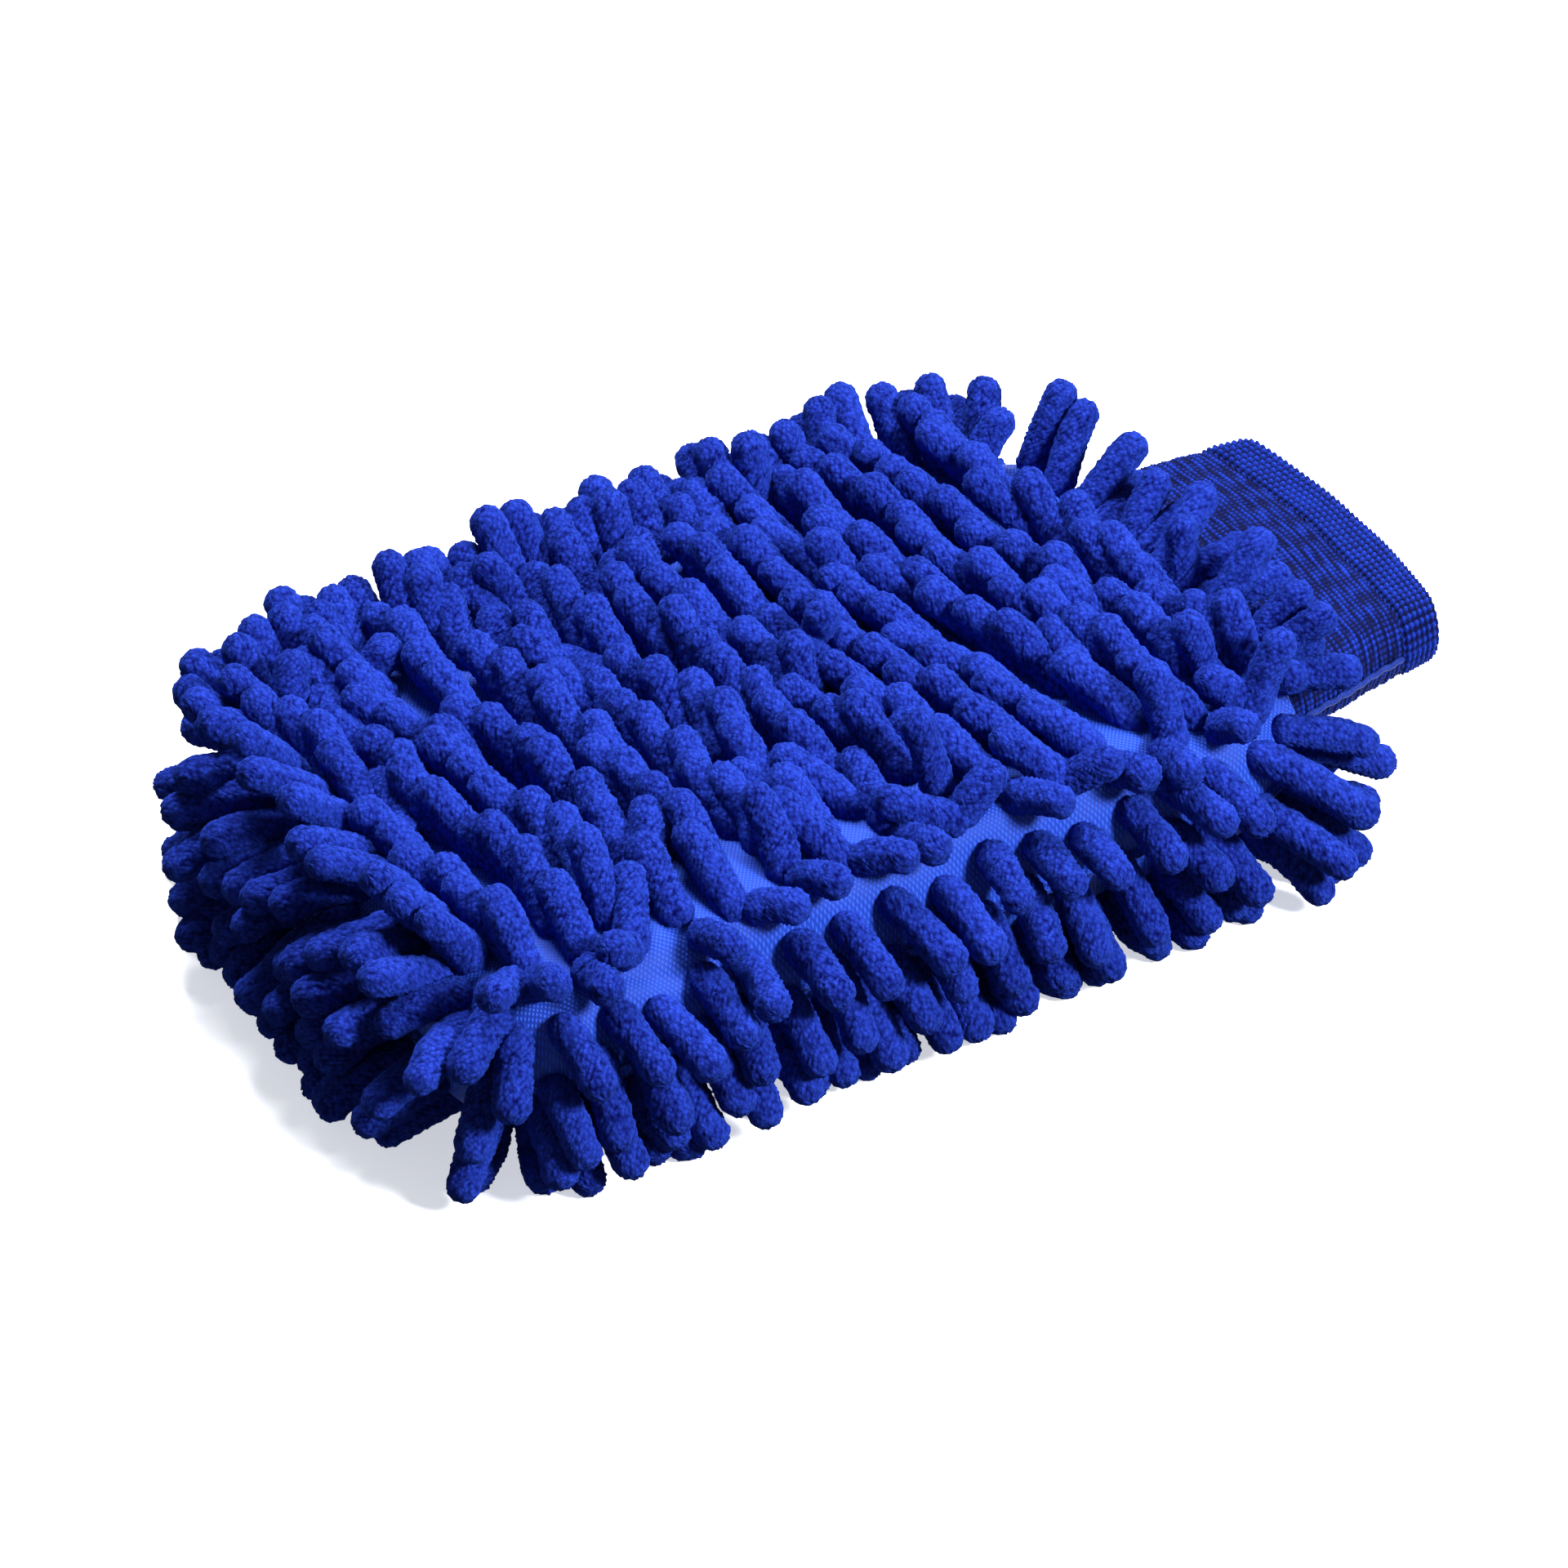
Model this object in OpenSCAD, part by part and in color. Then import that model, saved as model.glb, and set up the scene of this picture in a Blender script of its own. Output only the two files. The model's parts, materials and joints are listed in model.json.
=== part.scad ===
// Chenille wash mitt: a sewn fabric pocket covered in rows of chenille noodles,
// with a double-layer knitted cuff that folds at its seam.
// Millimetres. +Y points out of the wrist opening and +Z up. The origin is on the
// surface the mitt lies on, under the middle of its outline.

/* [Pocket] */
// width of the sewn pocket without its pile
pocket_w = 148; // [120:1:180]
// length of the sewn pocket without its pile
pocket_l = 240; // [180:1:260]
// height of the pocket when it lies relaxed
pocket_h = 38; // [28:1:50]
// corner radius of the pocket seen from above
corner_r = 28; // [20:1:50]
// how far the rounded sides roll in before the flat panel starts
side_roll = 13; // [8:0.5:20]
// thickness of the backing fabric
backing_t = 1.2; // [0.8:0.1:2]
// thickness of the lining
lining_t = 0.6; // [0.4:0.1:1]

/* [Pile] */
// diameter of one chenille noodle
noodle_d = 9.4; // [7:0.1:12]
// how far the side pile reaches out from the pocket
pile_reach = 19; // [12:0.5:26]
// height of the pile that lies over the top panel
deck_pile_h = 15; // [9:0.5:20]
// thickness of the pile pressed flat under the mitt
under_pile_h = 9.6; // [6:0.2:14]
// distance between rows
row_pitch = 13.6; // [11:0.1:14]
// distance between noodles in the side fringe
fringe_pitch = 13.2; // [10:0.1:20]

/* [Cuff] */
// width of the cuff lying flat at its outer edge
cuff_w = 88; // [76:1:110]
// width of the cuff where it is sewn into the mouth
cuff_root_w = 108; // [88:1:112]
// thickness of the relaxed cuff
cuff_t = 19; // [12:0.5:26]
// length of the cuff beyond its seam
cuff_l = 60; // [45:1:90]
// length of the cuff tucked inside the mouth
cuff_tuck = 9; // [5:0.5:12]
// length of the hem at the outer edge
hem_l = 14; // [8:0.5:20]
// thickness of the outer knit layer
knit_t = 1.3; // [0.8:0.1:2]
// thickness of the inner knit layer
inner_t = 1.0; // [0.6:0.1:1.6]
// diameter of one elastic thread
elastic_d = 0.9; // [0.5:0.1:1.4]

/* [Hidden] */
// gap left between neighbouring layers
gap = 0.15;
// gap left between the pile and the fabric it is tufted in
root_gap = 0.05;
// space between the moving cuff and the still mouth
mouth_clear = 2.6;
// wall of the binding round the mouth
binding_t = 1.8;
// how far the binding reaches in and out from the hinge line
binding_in = 4;
binding_out = 2;
// how far inside the mouth the hinge line stands
hinge_in = 1;
// how far the linings and the seam keep back from the mouth
lining_back = 1;
seam_back = 2;
// where the seam allowance and its stitches start and end outside the pocket
seam_near = 0.1;
seam_far = 2.6;
thread_near = 2.75;
thread_far = 3.35;
seam_half_t = 1;
thread_half_t = 0.3;
// rows of pile on each panel, and how far they stay off the rolled sides
rows = 16;
row_inset = side_roll * 0.72;
// how much of the deck pile is the closed base of a row
row_base_h = deck_pile_h * 0.4;
// where the root and the tip of a leaning noodle stand
lean_root = 0.6 * noodle_d / 2;
lean_tip = -0.5 * noodle_d / 2;
lean_root_z = deck_pile_h * 0.35;
// one lump of the pile under the mitt, and the bar that joins the lumps
lump_pitch = noodle_d * 1.4;
lump_stretch = 1.12;
lump_grow = 0.2;
under_bar_w = noodle_d * 0.6;
// section of the tuft base that a run of fringe grows from
tape_w = noodle_d * 0.8;
tape_h = 5;
// where the upper and the lower fringe are sewn, measured from the seam
upper_lift = 9.5;
lower_lift = -7.5;
upper_root = 3.1;
lower_root = 3.6;
// how far the tips of the fringe hang below their roots
upper_droop = 3.5;
lower_droop = 6;
// the root of a fringe noodle is a little thinner than its tip
root_scale = 0.92;
// free ends of a straight run and of a corner run, in mm and in degrees
run_margin = 2;
corner_margin = 2;
corner_steps = 8;
corner_count = 4;
// the wrist fringe: how far round the shoulder it goes, and its noodles
wrist_sweep = 58;
wrist_count = 3;
// the last row beside the cuff
wrist_row_w = 88;
wrist_row_back = 8.5;
wrist_row_sink = 1.5;
wrist_row_h = deck_pile_h * 0.75;
// elastic threads: the first one from the hinge line, and their spacing
elastic_first = 8;
elastic_step = 12;
// the hem is folded over, so it stands out a little from the knit
hem_out = 0.5;
// seam allowance along the edge of the cuff
cuff_seam_w = 1.6;
cuff_seam_t = 2;
cuff_seam_margin = 4;
total_l = pile_reach + pocket_l + cuff_l;
floor_z = under_pile_h + root_gap;
seam_z = floor_z + pocket_h / 2;
deck_z = floor_z + pocket_h;
back_y = -total_l / 2 + pile_reach;
mouth_y = back_y + pocket_l;
end_y = mouth_y + cuff_l;
mid_y = (back_y + mouth_y) / 2;
hinge_y = mouth_y - hinge_in;
tuck_y = hinge_y - cuff_tuck;
hem_y = end_y - hem_l;
row_span = (rows - 1) * row_pitch;
row_y0 = mid_y - row_span / 2;
outline_steps = 8;
roll_steps = 5;
oval_facets = 36;

// the colours of the materials
pile_blue = [0.07, 0.16, 0.72];
fabric_blue = [0.14, 0.28, 0.86];
knit_blue = [0.06, 0.14, 0.5];
lining_grey = [0.62, 0.66, 0.72];
thread_blue = [0.05, 0.12, 0.42];
elastic_white = [0.85, 0.85, 0.82];

// points around a rounded rectangle, counted the same way for every inset
function outline(w, l, r, steps) = [
    for (q = [0:3], i = [0:steps])
        let (
            a = 90 * (q + i / steps),
            sx = q == 0 || q == 3 ? 1 : -1,
            sy = q < 2 ? 1 : -1
        )
        [sx * (w / 2 - r) + r * cos(a), sy * (l / 2 - r) + r * sin(a)]
];

// one ring of the rolled side: shrinks by inset and stands at height z
function ring(inset, z) = [
    for (p = outline(pocket_w - 2 * inset, pocket_l - 2 * inset, corner_r - inset, outline_steps))
        [p[0], p[1] + mid_y, z]
];

// half of the pocket as a solid cap, made thinner all over by cut
module half_cap(up, cut) {
    h = pocket_h / 2 - cut;
    roll = side_roll - cut / 2;
    levels = [
        for (k = [0:roll_steps])
            let (a = 90 * k / roll_steps)
            [cut + roll * (1 - cos(a)), seam_z + up * (h * sin(a))]
    ];
    start = [[cut, seam_z + up * gap / 2]];
    stack = concat(start, [for (k = [1:roll_steps]) levels[k]]);
    n = 4 * (outline_steps + 1);
    points = [for (s = stack) each ring(s[0], s[1])];
    last = len(stack) - 1;
    sides = [
        for (k = [0:last - 1], i = [0:n - 1])
            let (j = (i + 1) % n)
            up > 0
                ? [k * n + j, k * n + i, (k + 1) * n + i, (k + 1) * n + j]
                : [k * n + i, k * n + j, (k + 1) * n + j, (k + 1) * n + i]
    ];
    base = [for (i = [0:n - 1]) up > 0 ? i : n - 1 - i];
    cap = [for (i = [0:n - 1]) last * n + (up > 0 ? n - 1 - i : i)];
    polyhedron(points, concat(sides, [base, cap]), convexity = 4);
}

// a straight oval bar, w wide and h high, from y0 over a length
module oval_bar(w, h, y0, length) {
    translate([0, y0, seam_z])
        rotate([-90, 0, 0])
            linear_extrude(length)
                hull()
                    for (side = [-1, 1])
                        translate([side * (w - h) / 2, 0])
                            circle(h / 2, $fn = oval_facets);
}

// width of the cuff at y: it narrows evenly from the tuck to the outer edge
function cuff_at(y) = cuff_root_w + (cuff_w - cuff_root_w) * (y - hinge_y) / (end_y - hinge_y);

// one ring of the cuff's oval section, grown or shrunk by grow
function oval_ring(grow, y) = [
    for (side = [1, -1], k = [0:oval_facets / 2])
        let (
            a = -90 * side + 360 * k / oval_facets,
            r = cuff_t / 2 + grow
        )
        [side * (cuff_at(y) - cuff_t) / 2 + r * cos(a), y, seam_z + r * sin(a)]
];

// a tapered oval bar between y0 and y1
module oval_taper(grow, y0, y1) {
    near = oval_ring(grow, y0);
    far = oval_ring(grow, y1);
    n = len(near);
    sides = [for (i = [0:n - 1]) [i, (i + 1) % n, n + (i + 1) % n, n + i]];
    first = [for (i = [0:n - 1]) n - 1 - i];
    second = [for (i = [0:n - 1]) n + i];
    polyhedron(concat(near, far), concat(sides, [first, second]), convexity = 2);
}

// a tube of the cuff's section, from y0 to y1, between two offsets
module oval_tube(outside, inside, y0, y1) {
    difference() {
        oval_taper(outside, y0, y1);
        oval_taper(inside, y0 - 1, y1 + 1);
    }
}

// the gap in the end wall that the cuff comes out of
module mouth_cut(extra) {
    depth = 2 * corner_r;
    grow = 2 * (mouth_clear + binding_t + gap + extra);
    w = cuff_at(hinge_y - binding_in) + grow;
    oval_bar(w, cuff_t + grow, mouth_y - depth / 4, depth);
}

// one layer of one half of the pocket
module half_layer(up, outer_cut, inner_cut, extra) {
    difference() {
        half_cap(up, outer_cut);
        translate([0, 0, -up * gap])
            half_cap(up, inner_cut);
        mouth_cut(extra);
    }
}

module top_panel() {
    color(fabric_blue)
        half_layer(1, 0, backing_t, 0);
}

module bottom_panel() {
    color(fabric_blue)
        half_layer(-1, 0, backing_t, 0);
}

module top_lining() {
    cut = backing_t + gap;
    color(lining_grey)
        half_layer(1, cut, cut + lining_t, lining_back);
}

module bottom_lining() {
    cut = backing_t + gap;
    color(lining_grey)
        half_layer(-1, cut, cut + lining_t, lining_back);
}

// a flat band that follows the outline of the pocket and stops at the mouth
module outline_band(near, far, half_t) {
    difference() {
        translate([0, mid_y, seam_z - half_t])
            linear_extrude(2 * half_t)
                difference() {
                    polygon(outline(pocket_w + 2 * far, pocket_l + 2 * far,
                        corner_r + far, outline_steps));
                    polygon(outline(pocket_w + 2 * near, pocket_l + 2 * near,
                        corner_r + near, outline_steps));
                }
        mouth_cut(seam_back);
    }
}

// the closed seam allowance where the two panels are sewn together
module perimeter_seam() {
    color(fabric_blue)
        outline_band(seam_near, seam_far, seam_half_t);
}

// the stitch line that shows along the seam
module seam_thread() {
    color(thread_blue)
        outline_band(thread_near, thread_far, thread_half_t);
}

// the outline of one noodle that leans towards the far side, rooted at its lower end
module leaning_noodle() {
    r = noodle_d / 2;
    hull() {
        translate([lean_root, lean_root_z])
            circle(r, $fn = 8);
        translate([lean_tip, deck_pile_h - r])
            circle(r, $fn = 8);
    }
}

// a bar of noodles that lean on one another, drawn as they look from the end of the mitt
module top_row(i) {
    y = row_y0 + (i - 1) * row_pitch;
    half_w = row_half(y);
    count = floor(2 * half_w / noodle_d);
    step = 2 * half_w / count;
    color(pile_blue)
        translate([0, y + noodle_d / 2, deck_z + root_gap])
            rotate([90, 0, 0])
                linear_extrude(noodle_d)
                    union() {
                        translate([-half_w, 0])
                            square([2 * half_w, row_base_h]);
                        for (k = [0:count - 1])
                            translate([-half_w + (k + 0.5) * step, 0])
                                leaning_noodle();
                    }
}

// a bar of noodles pressed flat between the mitt and the surface under it
module bottom_row(i) {
    y = row_y0 + (i - 1) * row_pitch;
    half_w = row_half(y);
    count = floor(2 * half_w / lump_pitch);
    step = 2 * half_w / count;
    color(pile_blue)
        linear_extrude(under_pile_h)
            union() {
                translate([-half_w, y - under_bar_w / 2])
                    square([2 * half_w, under_bar_w]);
                for (k = [0:count - 1])
                    translate([-half_w + (k + 0.5) * step, y])
                        scale([1, lump_stretch])
                            circle(noodle_d / 2 + lump_grow, $fn = 6);
            }
}

// half the length of a row at y, shorter where the corners are rounded
function row_half(y) =
    let (
        r = corner_r,
        past = max(0, abs(y - mid_y) - (pocket_l / 2 - r)),
        lost = r - sqrt(max(0, r * r - past * past))
    )
    pocket_w / 2 - row_inset - lost;

// one noodle of the fringe: a round-ended finger that points away from the pocket
module finger(length, lift) {
    r = noodle_d / 2;
    hull() {
        sphere(r * root_scale, $fn = 6);
        translate([length, 0, lift])
            sphere(r, $fn = 6);
    }
}

// a straight run of fringe beside the pocket; side is -1 or 1, layer 1 is the upper one
module side_fringe(side, layer) {
    span = pocket_l - 2 * corner_r;
    count = floor(span / fringe_pitch);
    step = span / count;
    z = fringe_z(layer);
    x = pocket_w / 2 + fringe_root(layer);
    color(pile_blue)
        union() {
            translate([side * x - tape_w / 2, mid_y - span / 2 + run_margin, z - tape_h / 2])
                cube([tape_w, span - 2 * run_margin, tape_h]);
            for (k = [0:count - 1])
                translate([side * x, mid_y - span / 2 + (k + 0.5) * step, z])
                    rotate([0, 0, side > 0 ? 0 : 180])
                        finger(finger_out(layer), finger_drop(layer));
        }
}

// the fringe across the closed end
module end_fringe(layer) {
    span = pocket_w - 2 * corner_r;
    count = floor(span / fringe_pitch) + 1;
    step = span / count;
    z = fringe_z(layer);
    y = back_y - fringe_root(layer);
    color(pile_blue)
        union() {
            translate([-span / 2 + run_margin, y - tape_w / 2, z - tape_h / 2])
                cube([span - 2 * run_margin, tape_w, tape_h]);
            for (k = [0:count - 1])
                translate([-span / 2 + (k + 0.5) * step, y, z])
                    rotate([0, 0, -90])
                        finger(finger_out(layer), finger_drop(layer));
        }
}

// the fringe around one rounded corner, from angle a0 over sweep degrees
module corner_fringe(cx, cy, a0, sweep, count, layer) {
    z = fringe_z(layer);
    r = corner_r + fringe_root(layer);
    clear = corner_margin;
    steps = corner_steps;
    inner = r - tape_w / 2;
    outer = r + tape_w / 2;
    color(pile_blue)
        translate([cx, cy, z])
            union() {
                translate([0, 0, -tape_h / 2])
                    linear_extrude(tape_h)
                        polygon([
                            for (k = [0:steps])
                                let (a = a0 + clear + (sweep - 2 * clear) * k / steps)
                                [outer * cos(a), outer * sin(a)],
                            for (k = [steps:-1:0])
                                let (a = a0 + clear + (sweep - 2 * clear) * k / steps)
                                [inner * cos(a), inner * sin(a)]
                        ]);
                for (k = [0:count - 1])
                    rotate([0, 0, a0 + sweep * (k + 0.5) / count])
                        translate([r, 0, 0])
                            finger(finger_out(layer), finger_drop(layer));
            }
}

// height of a fringe layer's roots
function fringe_z(layer) = seam_z + (layer == 1 ? upper_lift : lower_lift);

// distance of the roots from the widest outline of the pocket
function fringe_root(layer) = layer == 1 ? upper_root : lower_root;

// how far a finger runs out
function finger_out(layer) = pile_reach - fringe_root(layer) - noodle_d / 2;

// how far a finger drops along its length
function finger_drop(layer) = layer == 1 ? -upper_droop : -lower_droop;

module near_fringe(layer) {
    side_fringe(1, layer);
}

module far_fringe(layer) {
    side_fringe(-1, layer);
}

// the corner at the closed end; side is -1 or 1
module back_corner_fringe(side, layer) {
    cx = side * (pocket_w / 2 - corner_r);
    cy = back_y + corner_r;
    corner_fringe(cx, cy, side > 0 ? -90 : 180, 90, corner_count, layer);
}

// the shoulder beside the cuff; it stops short of the mouth
module wrist_fringe(side, layer) {
    cx = side * (pocket_w / 2 - corner_r);
    cy = mouth_y - corner_r;
    start = side > 0 ? 0 : 180 - wrist_sweep;
    corner_fringe(cx, cy, start, wrist_sweep, wrist_count, layer);
}

// the last row at the wrist end, above the cuff
module top_wrist_row() {
    color(pile_blue)
        translate([-wrist_row_w / 2, mouth_y - wrist_row_back, deck_z - wrist_row_sink])
            cube([wrist_row_w, noodle_d, wrist_row_h]);
}

// the last row at the wrist end, pressed flat under the mouth
module bottom_wrist_row() {
    color(pile_blue)
        translate([-wrist_row_w / 2, mouth_y - wrist_row_back, 0])
            cube([wrist_row_w, noodle_d, under_pile_h]);
}

// the hem of fabric that binds the mouth and holds the cuff
module mouth_binding() {
    color(fabric_blue)
        oval_tube(mouth_clear + binding_t, mouth_clear, hinge_y - binding_in,
            hinge_y + binding_out);
}

module cuff_outer() {
    color(knit_blue)
        oval_tube(0, -knit_t, tuck_y, hem_y - gap);
}

// threads that run round between the two knit layers
module cuff_elastic(i) {
    start = -knit_t - gap;
    y = hinge_y + elastic_first + (i - 1) * elastic_step;
    color(elastic_white)
        oval_tube(start, start - elastic_d, y, y + 2 * elastic_d);
}

module cuff_inner() {
    start = -knit_t - 2 * gap - elastic_d;
    color(knit_blue)
        oval_tube(start, start - inner_t, tuck_y, hem_y - gap);
}

module cuff_hem() {
    inside = -knit_t - 2 * gap - elastic_d - inner_t;
    color(knit_blue)
        oval_tube(hem_out, inside, hem_y, end_y);
}

// the seam allowance along the edge of the cuff
module cuff_side_seam() {
    y0 = hinge_y + cuff_seam_margin;
    y1 = hem_y - cuff_seam_margin;
    x0 = cuff_at(y0) / 2 + seam_near;
    x1 = cuff_at(y1) / 2 + seam_near;
    color(thread_blue)
        translate([0, 0, seam_z - cuff_seam_t / 2])
            linear_extrude(cuff_seam_t)
                polygon([[x0, y0], [x0 + cuff_seam_w, y0], [x1 + cuff_seam_w, y1], [x1, y1]]);
}

top_panel();
bottom_panel();
top_lining();
bottom_lining();
perimeter_seam();
seam_thread();
mouth_binding();
top_row(1);  // top_row_01
top_row(2);  // top_row_02
top_row(3);  // top_row_03
top_row(4);  // top_row_04
top_row(5);  // top_row_05
top_row(6);  // top_row_06
top_row(7);  // top_row_07
top_row(8);  // top_row_08
top_row(9);  // top_row_09
top_row(10);  // top_row_10
top_row(11);  // top_row_11
top_row(12);  // top_row_12
top_row(13);  // top_row_13
top_row(14);  // top_row_14
top_row(15);  // top_row_15
top_row(16);  // top_row_16
bottom_row(1);  // bottom_row_01
bottom_row(2);  // bottom_row_02
bottom_row(3);  // bottom_row_03
bottom_row(4);  // bottom_row_04
bottom_row(5);  // bottom_row_05
bottom_row(6);  // bottom_row_06
bottom_row(7);  // bottom_row_07
bottom_row(8);  // bottom_row_08
bottom_row(9);  // bottom_row_09
bottom_row(10);  // bottom_row_10
bottom_row(11);  // bottom_row_11
bottom_row(12);  // bottom_row_12
bottom_row(13);  // bottom_row_13
bottom_row(14);  // bottom_row_14
bottom_row(15);  // bottom_row_15
bottom_row(16);  // bottom_row_16
near_fringe(1);  // near_fringe_upper
far_fringe(1);  // far_fringe_upper
end_fringe(1);  // closed_end_fringe_upper
back_corner_fringe(1, 1);  // near_corner_fringe_upper
back_corner_fringe(-1, 1);  // far_corner_fringe_upper
near_fringe(2);  // near_fringe_lower
far_fringe(2);  // far_fringe_lower
end_fringe(2);  // closed_end_fringe_lower
back_corner_fringe(1, 2);  // near_corner_fringe_lower
back_corner_fringe(-1, 2);  // far_corner_fringe_lower
wrist_fringe(1, 2);  // near_wrist_fringe
wrist_fringe(-1, 2);  // far_wrist_fringe
top_wrist_row();
bottom_wrist_row();
cuff_elastic(1);  // cuff_elastic_1
cuff_elastic(2);  // cuff_elastic_2
cuff_elastic(3);  // cuff_elastic_3
cuff_outer();
cuff_inner();
cuff_hem();
cuff_side_seam();
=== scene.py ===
"""Chenille wash mitt: a padded pocket, its chenille noodles and its knitted cuff, in a small studio."""

import json
import logging
import math
from collections.abc import Callable, Sequence
from dataclasses import dataclass, field
from enum import Enum, IntEnum

import bpy
import numpy as np
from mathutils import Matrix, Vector
from mathutils.bvhtree import BVHTree


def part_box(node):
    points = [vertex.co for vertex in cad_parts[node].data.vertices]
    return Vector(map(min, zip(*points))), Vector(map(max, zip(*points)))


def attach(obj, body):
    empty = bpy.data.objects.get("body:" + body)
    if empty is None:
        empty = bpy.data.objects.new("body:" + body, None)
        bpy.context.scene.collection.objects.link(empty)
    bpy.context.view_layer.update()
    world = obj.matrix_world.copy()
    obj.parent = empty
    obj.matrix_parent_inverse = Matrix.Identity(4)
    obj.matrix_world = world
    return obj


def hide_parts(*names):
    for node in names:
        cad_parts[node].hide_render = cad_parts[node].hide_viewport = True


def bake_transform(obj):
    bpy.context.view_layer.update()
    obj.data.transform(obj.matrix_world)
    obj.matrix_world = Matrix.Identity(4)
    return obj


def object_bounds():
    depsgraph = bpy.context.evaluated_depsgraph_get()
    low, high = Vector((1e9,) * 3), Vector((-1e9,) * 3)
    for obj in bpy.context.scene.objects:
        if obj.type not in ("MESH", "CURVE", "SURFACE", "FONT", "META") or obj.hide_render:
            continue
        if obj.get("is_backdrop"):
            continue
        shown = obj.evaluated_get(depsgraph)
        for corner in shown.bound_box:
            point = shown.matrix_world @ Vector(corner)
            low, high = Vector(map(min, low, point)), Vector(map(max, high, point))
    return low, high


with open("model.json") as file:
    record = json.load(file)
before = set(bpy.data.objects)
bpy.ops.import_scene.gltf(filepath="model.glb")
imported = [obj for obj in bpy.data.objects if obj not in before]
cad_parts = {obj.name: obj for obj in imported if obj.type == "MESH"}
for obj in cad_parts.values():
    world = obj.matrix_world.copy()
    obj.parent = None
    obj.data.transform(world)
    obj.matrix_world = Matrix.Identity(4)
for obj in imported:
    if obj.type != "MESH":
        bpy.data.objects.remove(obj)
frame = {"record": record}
CAD_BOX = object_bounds()

logging.basicConfig(level=logging.INFO, format="%(message)s")
log = logging.getLogger("mitt")

MM = 0.001
SEED = 20417
UP = np.array([0.0, 0.0, 1.0])
OUT_OF_MOUTH = np.array([0.0, 1.0, 0.0])
ROWS = range(1, 17)
ELASTICS = (1, 2, 3)
FOLD = np.array(frame["record"]["behaviour"]["joints"][0]["pos_m"])


# ---------------------------------------------------------------- small helpers


class Draw(IntEnum):
    """What each set of random draws is for, as its distance from the script's seed."""

    SWIRL = 1
    STROKE = 2
    ROW_WANDER = 3
    CUFF_LUMPS = 5
    CUFF_LIP = 6
    CUFF_EDGES = 7
    PUCKER = 40
    SEAM = 60
    KNIT_LEAN = 80
    KNIT_UNEVEN = 81
    UNDER_ROW = 100
    SIDE_LAYER = 400
    MOUTH_ROW = 700
    SKIN = 900


class Side(Enum):
    """Which half of the mitt a piece belongs to."""

    TOP = 1
    BOTTOM = -1


def unit(v: np.ndarray) -> np.ndarray:
    """The vectors in v, each made one long."""
    return v / np.maximum(np.linalg.norm(v, axis=-1, keepdims=True), 1e-12)


def centre_of(node: str) -> np.ndarray:
    """The middle of a CAD node's box."""
    low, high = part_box(node)
    return (np.array(low) + np.array(high)) / 2


def wave_noise(p: np.ndarray, size: float, seed: int, octaves: int = 3) -> np.ndarray:
    """Smooth noise made of crossed waves.

    Args:
        p: points, (n, 3), in metres.
        size: the length of the largest wave, in metres.
        seed: picks the waves.
        octaves: how many sets of waves, each half as long as the last.

    Returns:
        (n,) values, mostly between -1 and 1.
    """
    rng = np.random.default_rng(seed)
    total = np.zeros(len(p))
    weight = 1.0
    for _ in range(octaves):
        for _ in range(4):
            way = unit(rng.normal(size=3)) * (2 * math.pi / size)
            total += weight * np.sin(p @ way + rng.uniform(0, 2 * math.pi))
        size, weight = size / 2, weight / 2
    return total / 4


def make_mesh(
    name: str,
    points: np.ndarray,
    quads: np.ndarray,
    attributes: dict[str, np.ndarray] | None = None,
) -> bpy.types.Object:
    """A smooth mesh object from arrays.

    Args:
        name: the object's name.
        points: (n, 3) vertices, in metres.
        quads: (m, 4) vertex numbers; a triangle repeats its last one.
        attributes: a value per vertex, by name.

    Returns:
        The new object, linked to the scene.
    """
    name = name.replace(" ", "_")
    mesh = bpy.data.meshes.new(name)
    is_tri = quads[:, 2] == quads[:, 3]
    sizes = np.where(is_tri, 3, 4)
    starts = np.concatenate([[0], np.cumsum(sizes)[:-1]])
    keep = np.ones(quads.shape, bool)
    keep[is_tri, 3] = False
    loops = quads[keep]
    mesh.vertices.add(len(points))
    mesh.vertices.foreach_set("co", points.astype(np.float32).ravel())
    mesh.loops.add(len(loops))
    mesh.loops.foreach_set("vertex_index", loops.astype(np.int32))
    mesh.polygons.add(len(quads))
    mesh.polygons.foreach_set("loop_start", starts.astype(np.int32))
    mesh.polygons.foreach_set("use_smooth", np.ones(len(quads), bool))
    mesh.update(calc_edges=True)
    mesh.validate()
    for key, values in (attributes or {}).items():
        layer = mesh.attributes.new(key, "FLOAT", "POINT")
        layer.data.foreach_set("value", values.astype(np.float32))
    made = bpy.data.objects.new(name, mesh)
    bpy.context.scene.collection.objects.link(made)
    return made


def grid_quads(rows: int, cols: int, wrap: bool) -> np.ndarray:
    """The faces of a grid of rows by cols points, joined end to end across cols if wrap."""
    i = np.arange(rows - 1)[:, None]
    j = np.arange(cols if wrap else cols - 1)[None, :]
    k = (j + 1) % cols
    a, b = i * cols + j, i * cols + k
    return np.stack([a, b, b + cols, a + cols], -1).reshape(-1, 4)


# ---------------------------------------------------------------- finishes


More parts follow.
